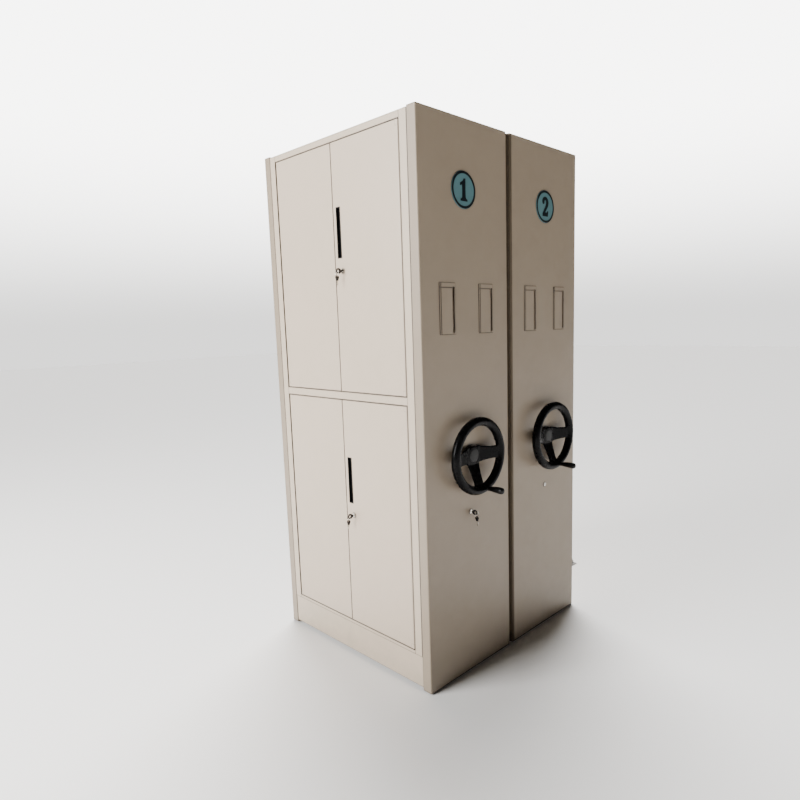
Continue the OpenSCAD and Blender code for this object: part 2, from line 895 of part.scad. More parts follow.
// The bottom and middle shelves are fixed, and the others lie on clips
module shelves(side) {
    color(paint)
        carriage(side) {
            shelf(base_top, sill_h, 0);
            shelf(mid_z, shelf_fold, 0);
            for (slot = shelf_slots)
                shelf(clip_top(slot), shelf_fold, shelf_end_gap);
        }
}

// Height of the clip top, and so of the shelf's underside, over a slot's number
function clip_top(slot) = slot_z0 + slot * slot_pitch + slot_h + clip_t;

// Clips hooked in the uprights, four under each loose shelf
module shelf_clips(side) {
    clip_w = slot_w - 2;
    color(bright)
        carriage(side)
            for (end = [0, 1], x = [post_x0 + post_w / 2, open_x - post_w / 2], slot = shelf_slots)
                mirror([0, end, 0])
                    translate([x - clip_w / 2, 0, clip_top(slot)]) {
                        translate([0, post_y - clip_reach, -clip_t])
                            cube([clip_w, clip_reach, clip_t]);
                        translate([0, post_y - clip_t, -clip_t - slot_h - clip_drop])
                            cube([clip_w, clip_t, clip_t + slot_h + clip_drop]);
                        translate([0, post_y - clip_t, -clip_t - slot_h])
                            cube([clip_w, clip_t + post_wall + 1, slot_h - 1]);
                    }
}

module plinths(side) {
    color(paint)
        carriage(side)
            for (x = [plinth_set, carriage_depth - plinth_set - plinth_t])
                block([x, x + plinth_t], [-inner_y, inner_y], [plinth_gap, base_top]);
}

// The cabinet's top, a pan between the end panels
module top_panel(side) {
    x0 = side == first ? frame_d : back_t;
    color(paint)
        carriage(side)
            difference() {
                block([x0, open_x], [-inner_y, inner_y], [head_z, cabinet_top]);
                block([x0 + sheet_t, open_x - sheet_t], [-inner_y + sheet_t, inner_y - sheet_t],
                      [head_z - cut, cabinet_top - sheet_t]);
            }
}

// The plain back of the second carriage, a pan with its edges folded inwards
module back_panel() {
    color(paint)
        carriage(second)
            difference() {
                block([0, back_t], [-inner_y, inner_y], [base_top, cabinet_top]);
                block([sheet_t, back_t + cut], [-inner_y + sheet_t, inner_y - sheet_t],
                      [base_top + sheet_t, cabinet_top - sheet_t]);
            }
}

// Stiles, head rail, middle rail and sill around the doors, butted at a fine groove, with the hinge pins
module door_frame() {
    color(paint)
        carriage(first) {
            for (end = [0, 1])
                mirror([0, end, 0]) {
                    translate([0, 0, base_top])
                        linear_extrude(cabinet_top - base_top)
                            difference() {
                                stile_outline(0);
                                stile_outline(sheet_t);
                            }
                    hinge_pin(base_top + sheet_t, sill_top + door_gap + hinge_l);
                    hinge_pin(mid_z - door_gap - hinge_l, mid_top + door_gap + hinge_l);
                    hinge_pin(head_z - door_gap - hinge_l, cabinet_top - sheet_t);
                }
            for (z = [[base_top, sill_top], [mid_z, mid_top], [head_z, cabinet_top]])
                difference() {
                    block([0, frame_d], [-stile_y, stile_y], z);
                    block([sheet_t, frame_d + cut], [-stile_y - cut, stile_y + cut],
                          [z[0] + sheet_t, z[1] - sheet_t]);
                    for (end = [0, 1])
                        mirror([0, end, 0])
                            block([-cut, joint_groove], [stile_y - joint_groove, stile_y + cut],
                                  [z[0] - cut, z[1] + cut]);
                }
        }
}

// A stile's outline seen from above, set in by the given wall, with its step beside the end panel
module stile_outline(inset) {
    step_y = inner_y - seam_w - inset;
    back_x = frame_d + (inset > 0 ? cut : 0);
    polygon([
        [inset, stile_y + inset], [inset, step_y], [seam_d + inset, step_y],
        [seam_d + inset, inner_y - inset], [back_x, inner_y - inset], [back_x, stile_y + inset]
    ]);
}

module hinge_pin(z0, z1) {
    translate([hinge_c, stile_y - door_gap - hinge_c, z0])
        cylinder(h = z1 - z0, r = hinge_r);
}

// A door's outline seen from above, set in by the given wall; its hinge edge is round
module leaf_outline(inset) {
    hinge_y = stile_y - door_gap - hinge_c;
    translate([hinge_c, hinge_y])
        circle(hinge_c - inset);
    translate([inset, door_gap / 2 + inset])
        square([door_t - 2 * inset, hinge_y - door_gap / 2 - inset]);
}

// A door leaf between two heights: a folded pan, open behind, with solid hinge corners
module leaf(z0, z1) {
    block_h = hinge_l + 6;
    hinge_y = stile_y - door_gap - hinge_c;
    free_y = door_gap / 2;
    difference() {
        union() {
            difference() {
                translate([0, 0, z0])
                    linear_extrude(z1 - z0)
                        leaf_outline(0);
                translate([0, 0, z0 + sheet_t])
                    linear_extrude(z1 - z0 - 2 * sheet_t)
                        leaf_outline(sheet_t);
                block([door_t - sheet_t - cut, door_t + cut], [free_y + door_fold, hinge_y + hinge_c - door_fold],
                      [z0 + door_fold, z1 - door_fold]);
            }
            for (z = [z0 + sheet_t / 2, z1 - block_h - sheet_t / 2])
                translate([0, 0, z])
                    linear_extrude(block_h)
                        intersection() {
                            leaf_outline(sheet_t / 2);
                            translate([0, hinge_y - hinge_c])
                                square([door_t, 2 * hinge_c]);
                        }
        }
        for (z = [z0 - cut, z1 - hinge_l - hinge_end])
            translate([hinge_c, hinge_y, z])
                cylinder(h = hinge_l + hinge_end + cut, r = hinge_r + run_fit);
    }
}

// A near door: a leaf with its recessed pull's hole and its lock's barrel
module near_door(z0, z1, pull_z) {
    hole_w = pull_w - 2 * pull_flange;
    color(paint)
        difference() {
            union() {
                carriage(first)
                    mirror([0, 1, 0])
                        leaf(z0, z1);
                on_lock(pull_z)
                    lock_barrel(door_t);
            }
            on_lock(pull_z)
                lock_bore(door_t);
            on_door(pull_inset, pull_z)
                translate([-hole_w / 2, pull_flange, -sheet_t - cut])
                    cube([hole_w, pull_h - 2 * pull_flange, sheet_t + 2 * cut]);
        }
}

module far_door(z0, z1) {
    color(paint)
        carriage(first)
            leaf(z0, z1);
}

// Draws on a near door as seen from outside, at a distance from its free edge: Z out of the door
module on_door(inset, height) {
    translate([face_x, -door_gap / 2 - inset, height])
        rotate([90, 0, -90])
            children();
}

module on_lock(pull_z) {
    on_door(lock_inset, pull_z - pull_lock_drop)
        children();
}

module upper_near_door() {
    near_door(mid_top + door_gap, head_z - door_gap, pull_z_upper);
}

module upper_far_door() {
    far_door(mid_top + door_gap, head_z - door_gap);
}

module lower_near_door() {
    near_door(sill_top + door_gap, mid_z - door_gap, pull_z_lower);
}

module lower_far_door() {
    far_door(sill_top + door_gap, mid_z - door_gap);
}

// A moulded cup with a thin flange that lies on the door's face
module pull(pull_z) {
    cup_w = pull_w - 2 * pull_flange - 2 * pull_play;
    cup_h = pull_h - 2 * pull_flange - 2 * pull_play;
    color(black)
        on_door(pull_inset, pull_z)
            translate([0, pull_h / 2, 0])
                difference() {
                    union() {
                        translate([-pull_w / 2, -pull_h / 2, 0])
                            cube([pull_w, pull_h, pull_proud]);
                        translate([-cup_w / 2, -cup_h / 2, pull_proud - pull_d])
                            cube([cup_w, cup_h, pull_d]);
                    }
                    translate([-cup_w / 2 + pull_wall, -cup_h / 2 + pull_wall, pull_proud - pull_d + pull_wall])
                        cube([cup_w - 2 * pull_wall, cup_h - 2 * pull_wall, pull_d]);
                }
}

module door_lock(pull_z) {
    color(bright)
        on_lock(pull_z)
            lock_plug(door_t, lock_inset + cam_grip);
}

module door_key(pull_z) {
    color(black)
        on_lock(pull_z)
            key();
}

front_rail();
rear_rail();
track_ties();
rail_stops();
base_frame(first);  // base_frame_1
bearings(first);  // bearings_1
drive_axle(first);  // drive_axle_1
wheels(first, axle_inset);  // drive_wheels_1
axle_sprocket(first);  // axle_sprocket_1
idle_axle(first);  // idle_axle_1
wheels(first, far_axle);  // idle_wheels_1
hand_shaft(first);  // hand_shaft_1
chain(first);  // chain_1
hand_wheel(first);  // hand_wheel_1
crank_grip(first);  // crank_grip_1
front_panel(first);  // front_panel_1
rear_panel(first);  // rear_panel_1
side_frames(first);  // side_frames_1
shelves(first);  // shelves_1
shelf_clips(first);  // shelf_clips_1
plinths(first);  // plinths_1
top_panel(first);  // top_panel_1
number_disc(first);  // number_disc_1
edge_seals(first);  // edge_seals_1
panel_lock(first);  // panel_lock_1
panel_key_1();
door_frame();
upper_near_door();
upper_far_door();
lower_near_door();
lower_far_door();
pull(pull_z_upper);  // upper_pull
pull(pull_z_lower);  // lower_pull
door_lock(pull_z_upper);  // upper_door_lock
door_lock(pull_z_lower);  // lower_door_lock
door_key(pull_z_upper);  // upper_door_key
door_key(pull_z_lower);  // lower_door_key
base_frame(second);  // base_frame_2
bearings(second);  // bearings_2
drive_axle(second);  // drive_axle_2
wheels(second, axle_inset);  // drive_wheels_2
axle_sprocket(second);  // axle_sprocket_2
idle_axle(second);  // idle_axle_2
wheels(second, far_axle);  // idle_wheels_2
hand_shaft(second);  // hand_shaft_2
chain(second);  // chain_2
hand_wheel(second);  // hand_wheel_2
crank_grip(second);  // crank_grip_2
front_panel(second);  // front_panel_2
rear_panel(second);  // rear_panel_2
side_frames(second);  // side_frames_2
shelves(second);  // shelves_2
shelf_clips(second);  // shelf_clips_2
plinths(second);  // plinths_2
top_panel(second);  // top_panel_2
number_disc(second);  // number_disc_2
edge_seals(second);  // edge_seals_2
panel_lock(second);  // panel_lock_2
back_panel();
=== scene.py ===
"""The looks of a closed pair of compact mobile shelving carriages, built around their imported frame.

Sizes in the classes are millimetres, and MM turns them to metres. A piece is drawn in elevation,
with X to the right, Y up and Z towards whoever looks at it, and Facing then turns it to the side
that it belongs to.
"""

import json
import logging
import math
from dataclasses import dataclass, field
from enum import Enum

import bpy
from mathutils import Euler, Matrix, Vector


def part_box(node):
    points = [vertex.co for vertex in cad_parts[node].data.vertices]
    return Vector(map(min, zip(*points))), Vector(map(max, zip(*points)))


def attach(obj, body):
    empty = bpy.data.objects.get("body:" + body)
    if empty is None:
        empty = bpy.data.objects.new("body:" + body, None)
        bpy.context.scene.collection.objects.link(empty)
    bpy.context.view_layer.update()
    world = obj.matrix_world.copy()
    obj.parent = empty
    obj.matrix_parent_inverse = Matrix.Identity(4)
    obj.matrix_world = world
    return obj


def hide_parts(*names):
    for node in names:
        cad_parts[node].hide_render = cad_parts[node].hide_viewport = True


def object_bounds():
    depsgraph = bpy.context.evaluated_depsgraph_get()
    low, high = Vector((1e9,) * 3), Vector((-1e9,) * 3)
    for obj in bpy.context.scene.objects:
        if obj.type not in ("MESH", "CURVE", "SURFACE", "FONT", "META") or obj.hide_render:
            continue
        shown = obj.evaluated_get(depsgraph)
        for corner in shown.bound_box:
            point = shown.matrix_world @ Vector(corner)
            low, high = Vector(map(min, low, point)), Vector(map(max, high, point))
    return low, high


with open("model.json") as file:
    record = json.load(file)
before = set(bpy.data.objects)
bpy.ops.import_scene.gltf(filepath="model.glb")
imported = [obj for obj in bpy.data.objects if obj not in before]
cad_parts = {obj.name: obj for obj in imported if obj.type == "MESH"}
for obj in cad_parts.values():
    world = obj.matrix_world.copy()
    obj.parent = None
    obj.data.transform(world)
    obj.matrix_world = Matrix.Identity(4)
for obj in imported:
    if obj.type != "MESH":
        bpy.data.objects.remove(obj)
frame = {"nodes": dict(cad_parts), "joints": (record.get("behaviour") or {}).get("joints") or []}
cad_low, cad_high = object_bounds()

MM = 0.001
log = logging.getLogger("mobile_shelving")

Piece = bpy.types.Object
Tree = bpy.types.NodeTree
Node = bpy.types.Node
Socket = bpy.types.NodeSocket
Pair = tuple[float, float]
Triple = tuple[float, float, float]
Profile = list[Pair]

# A Mix node's colour inputs and output, by place, because its names repeat
MIX_A, MIX_B, MIXED = 6, 7, 2
# The curve of sRGB: its straight foot, the foot's slope, and the offset and power of the rest
SRGB_FOOT, SRGB_SLOPE, SRGB_OFFSET, SRGB_POWER = 0.04045, 12.92, 0.055, 2.4
# Points closer than this are one point, in millimetres
DOUBLES = 0.01
# An edge that turns by more than this is rounded, and stays sharp in the shading
SHARP = math.radians(35)
# A quarter turn
QUARTER = math.radians(90)


class Carriage(Enum):
    """The two carriages, by the number on their signs."""

    FIRST = 1
    SECOND = 2

    def node(self, kind: str) -> str:
        """The name of this carriage's CAD node of a kind."""
        return f"{kind}_{self.value}"

    @property
    def body(self) -> str:
        """The body that the carriage's fixed pieces ride on."""
        return self.node("carriage")


class Facing(Enum):
    """The side that a piece drawn in elevation looks out of, by where its X, Y and Z go."""

    PANEL = ((1, 0, 0), (0, 0, 1), (0, -1, 0))
    DOORS = ((0, -1, 0), (0, 0, 1), (-1, 0, 0))

    def at(self, place: Vector) -> Matrix:
        """The turn to this side, and the move to a place in the row frame."""
        turn = Matrix(self.value).transposed().to_4x4()
        return Matrix.Translation(place) @ turn


class Numeral(Enum):
    """The two numerals' outlines: each point is X, Y and whether the line runs round there."""

    ONE = (
        (-21, -43, False), (21, -43, False), (21, -36, False), (12, -30, True), (10.5, -21, True),
        (10.5, 43, False), (0, 43, False), (-8, 33, True), (-22, 25, False), (-22, 14, False),
        (-10.5, 19, False), (-10.5, -21, True), (-12, -30, True), (-21, -36, False),
    )
    TWO = (
        (-23, -43, False), (20, -43, False), (24, -18, False), (17, -18, False), (10, -25, True),
        (-2, -25, False), (11, -10, True), (23, 8, True), (25, 23, True), (17, 37, True),
        (0, 43, True), (-18, 37, True), (-25, 22, True), (-19, 11, True), (-9, 13, True),
        (-7, 24, True), (-1, 29, True), (4, 25, True), (5, 16, True), (0, 2, True),
        (-14, -18, True), (-23, -32, False),
    )


def linear(colour: str) -> tuple[float, float, float, float]:
    """Turns an sRGB colour to linear values.

    Args:
        colour: The colour as #rrggbb.

    Returns:
        Red, green and blue, with an alpha of one.
    """
    shares = (int(colour[k:k + 2], 16) / 255 for k in (1, 3, 5))
    steep = [c / SRGB_SLOPE if c <= SRGB_FOOT
             else ((c + SRGB_OFFSET) / (1 + SRGB_OFFSET)) ** SRGB_POWER for c in shares]
    return (*steep, 1.0)


def add_node(tree: Tree, kind: str, inputs: dict | None = None, **settings) -> Node:
    """Adds a shader node with its settings and links.

    Args:
        tree: The node tree that gets it.
        kind: The node's type.
        inputs: For each input, by name or place, the value to set or the output to link.
        settings: The node's own properties.

    Returns:
        The new node.
    """
    node = tree.nodes.new(kind)
    for name, value in settings.items():
        setattr(node, name, value)
    for name, value in (inputs or {}).items():
        if isinstance(value, Socket):
            tree.links.new(value, node.inputs[name])
        else:
            node.inputs[name].default_value = value
    return node


@dataclass(frozen=True)
class Finish:
    """A finish with a base colour and a roughness, to which each kind of finish gives its surface.

    The spread is how far the roughness moves either way with the pattern of the colour.
    """

    name: str
    colour: str
    roughness: float
    spread: float = 0.05

    def material(self) -> bpy.types.Material:
        """Finds the finish's material, or makes it the first time that it is asked for.

        Returns:
            The material.
        """
        made = bpy.data.materials.get(self.name)
        if made is None:
            made = bpy.data.materials.new(self.name)
            made.use_nodes = True
            self.dress(made.node_tree, made.node_tree.nodes["Principled BSDF"])
        return made

    def dress(self, tree: Tree, shader: Node) -> None:
        """Builds the surface: each kind of finish has its own."""
        raise NotImplementedError

    def varied(self, tree: Tree, shader: Node, share: Socket, other: str) -> None:
        """Mixes the colour with another and lets the roughness follow the same pattern.

        Args:
            tree: The material's node tree.
            shader: Its shader.
            share: How much of the other colour shows, from 0 to 1.
            other: The other colour.
        """
        mix = add_node(tree, "ShaderNodeMix",
                       {0: share, MIX_A: linear(self.colour), MIX_B: linear(other)},
                       data_type="RGBA")
        tree.links.new(mix.outputs[MIXED], shader.inputs["Base Color"])
        rough = add_node(tree, "ShaderNodeMapRange",
                         {"Value": share, "To Min": self.roughness - self.spread,
                          "To Max": self.roughness + self.spread})
        tree.links.new(rough.outputs["Result"], shader.inputs["Roughness"])


@dataclass(frozen=True)
class PowderCoat(Finish):
    """Polyester powder sprayed on sheet steel and baked: a satin skin with a soft orange peel.

    The large sheets are never quite flat: a slow bump sways what they reflect, and a painted shade
    darkens their colour in slow patches. Dust lies low on them, and painted shade darkens their gaps,
    inner corners and edges.
    The painted shade in gaps thins out between two shares of open air, and the painted shade on
    edges between two cosines of the angle that the sheet turns by within reach.
    """

    # Painted shade: the darker colour that the coat sways towards in slow patches
    sway_shade: str = "#bbac96"
    sway_mm: float = 420.0
    sway_depth_mm: float = 1.2
    smear_mm: float = 70.0
    peel_mm: float = 2.5
    peel_depth_mm: float = 0.03
    dust: str = "#8e8576"
    dust_top_mm: float = 260.0
    dust_share: float = 0.5
    # Painted shade in gaps and inner corners: its colour, reach and strength
    gap_shade: str = "#3a322a"
    gap_shade_reach_mm: float = 14.0
    gap_shade_share: float = 0.95
    open_air: Pair = (0.5, 0.94)
    # Painted shade along the sheet's edges: its colour, reach, strength and the turns between which
    # it fades
    edge: str = "#4b4138"
    edge_mm: float = 5.0
    edge_shade_share: float = 0.95
    edge_turn: Pair = (0.82, 0.995)

    def dress(self, tree: Tree, shader: Node) -> None:
        """Builds the coat: its slow patches of painted shade, its dust, painted shade in its gaps and
        on its edges, and its skin.

        Args:
            tree: The material's node tree.
            shader: Its shader.
        """
        place = add_node(tree, "ShaderNodeTexCoord").outputs["Object"]
        sway = add_node(tree, "ShaderNodeTexNoise",
                        {"Vector": place, "Scale": 1 / (self.sway_mm * MM), "Detail": 1.5})
        smear = add_node(tree, "ShaderNodeTexNoise",
                         {"Vector": place, "Scale": 1 / (self.smear_mm * MM), "Detail": 4.0,
                          "Distortion": 0.6})
        tone = add_node(tree, "ShaderNodeMath",
                        {0: sway.outputs["Fac"], 1: smear.outputs["Fac"]}, operation="MULTIPLY")
        # Painted shade: the colour darkens in slow patches, as if the light swayed over the sheet
        self.varied(tree, shader, tone.outputs["Value"], self.sway_shade)
        dust = self.dust_low_down(tree, place, smear.outputs["Fac"])
        self.lay_over(tree, shader, dust, self.dust)
        # Painted shade: darkens the colour in gaps and inner corners
        self.lay_over(tree, shader, self.painted_gap_shade(tree), self.gap_shade)
        # Painted shade: darkens the colour along the sheet's edges
        self.lay_over(tree, shader, self.painted_edge_shade(tree), self.edge)
        peel = add_node(tree, "ShaderNodeTexNoise",
                        {"Vector": place, "Scale": 1 / (self.peel_mm * MM), "Detail": 1.0})
        swell = add_node(tree, "ShaderNodeBump",
                         {"Height": sway.outputs["Fac"], "Distance": self.sway_depth_mm * MM,
                          "Strength": 0.6})
        skin = add_node(tree, "ShaderNodeBump",
                        {"Height": peel.outputs["Fac"], "Distance": self.peel_depth_mm * MM,
                         "Strength": 0.5, "Normal": swell.outputs["Normal"]})
        tree.links.new(skin.outputs["Normal"], shader.inputs["Normal"])

    def dust_low_down(self, tree: Tree, place: Socket, smear: Socket) -> Socket:
        """Finds where dust lies: in smears, and less of it the higher up.

        Args:
            tree: The material's node tree.
            place: The point on the sheet.
            smear: The pattern of the smears.

        Returns:
            How much dust covers the coat, from 0 to 1.
        """
        height = add_node(tree, "ShaderNodeSeparateXYZ", {"Vector": place}).outputs["Z"]
        low = add_node(tree, "ShaderNodeMapRange",
                       {"Value": height, "From Max": self.dust_top_mm * MM,
                        "To Min": self.dust_share, "To Max": 0.0})
        film = add_node(tree, "ShaderNodeMath", {0: low.outputs["Result"], 1: smear},
                        operation="MULTIPLY")
        return film.outputs["Value"]

    def painted_gap_shade(self, tree: Tree) -> Socket:
        """Finds where painted shade darkens gaps and inner corners, by how little open air there is
        within reach.

        Args:
            tree: The material's node tree.

        Returns:
            How much painted shade covers the coat, from 0 to 1.
        """
        air = add_node(tree, "ShaderNodeAmbientOcclusion",
                       {"Distance": self.gap_shade_reach_mm * MM}, samples=8)
        closed, clear = self.open_air
        gap = add_node(tree, "ShaderNodeMapRange",
                       {"Value": air.outputs["AO"], "From Min": closed, "From Max": clear,
                        "To Min": self.gap_shade_share, "To Max": 0.0})
        return gap.outputs["Result"]

    def painted_edge_shade(self, tree: Tree) -> Socket:
        """Finds where painted shade darkens the sheet's edges, by how far a rounded surface would
        lean from the flat one.

        Args:
            tree: The material's node tree.

        Returns:
            How much of the painted edge shade shows, from 0 to 1.
        """
        rounded = add_node(tree, "ShaderNodeBevel", {"Radius": self.edge_mm * MM}, samples=6)
        flat = add_node(tree, "ShaderNodeNewGeometry").outputs["Normal"]
        turn = add_node(tree, "ShaderNodeVectorMath", {0: rounded.outputs["Normal"], 1: flat},
                        operation="DOT_PRODUCT")
        most, least = self.edge_turn
        # Painted shade: how strongly the edge colour darkens the coat
        thin = add_node(tree, "ShaderNodeMapRange",
                        {"Value": turn.outputs["Value"], "From Min": most, "From Max": least,
                         "To Min": self.edge_shade_share, "To Max": 0.0})
        return thin.outputs["Result"]

    def lay_over(self, tree: Tree, shader: Node, share: Socket, colour: str) -> None:
        """Covers what the coat shows so far with a colour.

        Args:
            tree: The material's node tree.
            shader: Its shader.
            share: How much the colour covers, from 0 to 1.
            colour: The colour.
        """
        under = shader.inputs["Base Color"].links[0].from_socket
        cover = add_node(tree, "ShaderNodeMix", {0: share, MIX_A: under, MIX_B: linear(colour)},
                         data_type="RGBA")
        tree.links.new(cover.outputs[MIXED], shader.inputs["Base Color"])


@dataclass(frozen=True)
class WorkedSteel(Finish):
    """Steel that shows how it was worked: fine lines along one way, darker where oil stays.

    A stain is as wide as a number of line spacings, and shows where its noise is in its range.
    """

    spread: float = 0.08
    stained: str = "#5d5a55"
    stain_lines: float = 45.0
    stain_range: Pair = (0.42, 0.72)
    stain_share: float = 0.8
    metallic: float = 1.0
    line_mm: float = 1.2
    line_depth_mm: float = 0.02
    run: Triple = (0.04, 1.0, 1.0)

    def dress(self, tree: Tree, shader: Node) -> None:
        """Draws the lines out along the way of working and lays slow stains over them.

        Args:
            tree: The material's node tree.
            shader: Its shader.
        """
        place = add_node(tree, "ShaderNodeTexCoord").outputs["Object"]
        drawn = add_node(tree, "ShaderNodeMapping", {"Vector": place, "Scale": self.run})
        lines = add_node(tree, "ShaderNodeTexNoise",
                         {"Vector": drawn.outputs["Vector"], "Scale": 1 / (self.line_mm * MM),
                          "Detail": 2.0})
        stains = add_node(tree, "ShaderNodeTexNoise",
                          {"Vector": place, "Scale": 1 / (self.stain_lines * self.line_mm * MM),
                           "Detail": 5.0})
        least, most = self.stain_range
        share = add_node(tree, "ShaderNodeMapRange",
                         {"Value": stains.outputs["Fac"], "From Min": least, "From Max": most,
                          "To Max": self.stain_share})
        self.varied(tree, shader, share.outputs["Result"], self.stained)
        shader.inputs["Metallic"].default_value = self.metallic
        skin = add_node(tree, "ShaderNodeBump",
                        {"Height": lines.outputs["Fac"], "Distance": self.line_depth_mm * MM,
                         "Strength": 0.5})
        tree.links.new(skin.outputs["Normal"], shader.inputs["Normal"])


@dataclass(frozen=True)
class PlatedBrass(Finish):
    """Nickel plated on turned brass: bright, with a few dull and warmer fingermarks."""

    spread: float = 0.06
    dulled: str = "#a9a59c"
    mark_mm: float = 9.0
    mark_range: Pair = (0.45, 0.75)

    def dress(self, tree: Tree, shader: Node) -> None:
        """Marks a bright metal where the noise is in its range.

        Args:
            tree: The material's node tree.
            shader: Its shader.
        """
        place = add_node(tree, "ShaderNodeTexCoord").outputs["Object"]
        marks = add_node(tree, "ShaderNodeTexNoise",
                         {"Vector": place, "Scale": 1 / (self.mark_mm * MM), "Detail": 3.0})
        least, most = self.mark_range
        share = add_node(tree, "ShaderNodeMapRange",
                         {"Value": marks.outputs["Fac"], "From Min": least, "From Max": most})
        self.varied(tree, shader, share.outputs["Result"], self.dulled)
        shader.inputs["Metallic"].default_value = 1.0


@dataclass(frozen=True)
class ZincPlate(Finish):
    """Bright zinc plate: small crystals that catch the light differently, and a faint yellow."""

    spread: float = 0.07
    tinted: str = "#b9b28f"
    crystal_mm: float = 3.0

    def dress(self, tree: Tree, shader: Node) -> None:
        """Gives the crystals their slightly different tones, as cells.

        Args:
            tree: The material's node tree.
            shader: Its shader.
        """
        place = add_node(tree, "ShaderNodeTexCoord").outputs["Object"]
        cells = add_node(tree, "ShaderNodeTexVoronoi",
                         {"Vector": place, "Scale": 1 / (self.crystal_mm * MM)})
        grey = add_node(tree, "ShaderNodeRGBToBW", {"Color": cells.outputs["Color"]})
        self.varied(tree, shader, grey.outputs["Val"], self.tinted)
        shader.inputs["Metallic"].default_value = 1.0


@dataclass(frozen=True)
class MouldedPlastic(Finish):
    """Injection-moulded plastic: the mould's polish or spark grain, and a little handling haze."""

    hazed: str = "#0a0a0a"
    haze_mm: float = 40.0
    haze_range: Pair = (0.4, 0.7)
    grain_mm: float = 0.9
    grain_depth_mm: float = 0.01
    ior: float = 1.5
    sheen_share: float = 0.5

    def dress(self, tree: Tree, shader: Node) -> None:
        """Makes haze a slow change of tone and gloss, and grain a fine relief.

        Args:
            tree: The material's node tree.
            shader: Its shader.
        """
        place = add_node(tree, "ShaderNodeTexCoord").outputs["Object"]
        haze = add_node(tree, "ShaderNodeTexNoise",
                        {"Vector": place, "Scale": 1 / (self.haze_mm * MM), "Detail": 4.0})
        least, most = self.haze_range
        share = add_node(tree, "ShaderNodeMapRange",
                         {"Value": haze.outputs["Fac"], "From Min": least, "From Max": most})
        self.varied(tree, shader, share.outputs["Result"], self.hazed)
        grain = add_node(tree, "ShaderNodeTexNoise",
                         {"Vector": place, "Scale": 1 / (self.grain_mm * MM), "Detail": 1.0})
        skin = add_node(tree, "ShaderNodeBump",
                        {"Height": grain.outputs["Fac"], "Distance": self.grain_depth_mm * MM,
                         "Strength": 0.4})
        tree.links.new(skin.outputs["Normal"], shader.inputs["Normal"])
        shader.inputs["IOR"].default_value = self.ior
        shader.inputs["Specular IOR Level"].default_value = self.sheen_share


@dataclass(frozen=True)
class ExtrudedRubber(Finish):
    """Extruded rubber: matt, with faint lines along its length and a bloom of grey on its face."""

    spread: float = 0.06
    bloom: str = "#635643"
    line_mm: float = 1.5
    line_depth_mm: float = 0.1
    run: Triple = (1.0, 1.0, 0.01)

    def dress(self, tree: Tree, shader: Node) -> None:
        """Runs the lines up the strip, as bloom and as relief.

        Args:
            tree: The material's node tree.
            shader: Its shader.
        """
        place = add_node(tree, "ShaderNodeTexCoord").outputs["Object"]
        drawn = add_node(tree, "ShaderNodeMapping", {"Vector": place, "Scale": self.run})
        lines = add_node(tree, "ShaderNodeTexNoise",
                         {"Vector": drawn.outputs["Vector"], "Scale": 1 / (self.line_mm * MM),
                          "Detail": 2.0})
        self.varied(tree, shader, lines.outputs["Fac"], self.bloom)
        skin = add_node(tree, "ShaderNodeBump",
                        {"Height": lines.outputs["Fac"], "Distance": self.line_depth_mm * MM,
                         "Strength": 0.5})
        tree.links.new(skin.outputs["Normal"], shader.inputs["Normal"])


@dataclass(frozen=True)
class PaleFloor(Finish):
    """A plain pale studio floor."""

    def dress(self, tree: Tree, shader: Node) -> None:
        """Gives it one even matt colour."""
        shader.inputs["Base Color"].default_value = linear(self.colour)
        shader.inputs["Roughness"].default_value = self.roughness


# End panels: satin taupe, a tone deeper than the doors, because the photograph shows them in shade
PANEL_COAT = PowderCoat("end_panel_powder_coat", "#998a78", 0.44, sway_shade="#8b7d6b")
# Frames, shelves, plinths and tops: the doors' warm cream, a little less glossy
CABINET_COAT = PowderCoat("cabinet_powder_coat", "#c6b5a1", 0.44)
# Doors: satin warm cream; a slow bump and a painted shade let the light sway over each sheet
DOOR_COAT = PowderCoat("door_powder_coat", "#c7b5a2", 0.42)
# Base frames: dull dark grey primer with warm patches and no gleam of metal
PRIMED_STEEL = WorkedSteel("primed_frame_steel", "#3b3b3b", 0.55, stained="#4a4540", metallic=0.0)
# Axles, shafts and sprockets: light bare metal with fine cutting lines and grey oil stains
MACHINED_STEEL = WorkedSteel("machined_steel", "#a3a19c", 0.32)
# Rails, ties and stops: light bare metal, a little duller, with coarser lines from drawing
TRACK_STEEL = WorkedSteel("cold_drawn_rail_steel", "#9d9a94", 0.36, line_mm=2.0)
# Bearing housings: dark grey with a grain that runs no way and a weak gleam
CAST_BEARING = WorkedSteel("oiled_cast_iron", "#4c4b49", 0.5, metallic=0.6, run=(1.0, 1.0, 1.0))
# Flanged wheels: mid-grey metal with a soft gleam
WHEEL_IRON = WorkedSteel("turned_wheel_iron", "#6d6a66", 0.4, metallic=0.85, run=(1.0, 1.0, 1.0))
# Chains: brownish grey metal, nearly black where the oil has gathered dirt
CHAIN_STEEL = WorkedSteel("oiled_chain_steel", "#5a5650", 0.34, stained="#2f2b26",
                          run=(1.0, 1.0, 1.0))
# Locks, key blades and key rings: bright warm silver with dull fingermarks
LOCK_NICKEL = PlatedBrass("nickel_plated_lock", "#d9d6cf", 0.2)
# Shelf clips: pale metal in small patches of slightly different tone
CLIP_ZINC = ZincPlate("zinc_plated_clip", "#c4c4c0", 0.35)
# Hand wheels: near black with hardly any gloss, as the photograph shows them
WHEEL_PLASTIC = MouldedPlastic("black_moulded_phenolic", "#050506", 0.3, hazed="#09090a",
                               sheen_share=0.09)
# Crank grips and hub caps: near black and glossier than the wheels
GRIP_PLASTIC = MouldedPlastic("black_grip_nylon", "#060607", 0.34, hazed="#0c0c0d",
                              sheen_share=0.25)
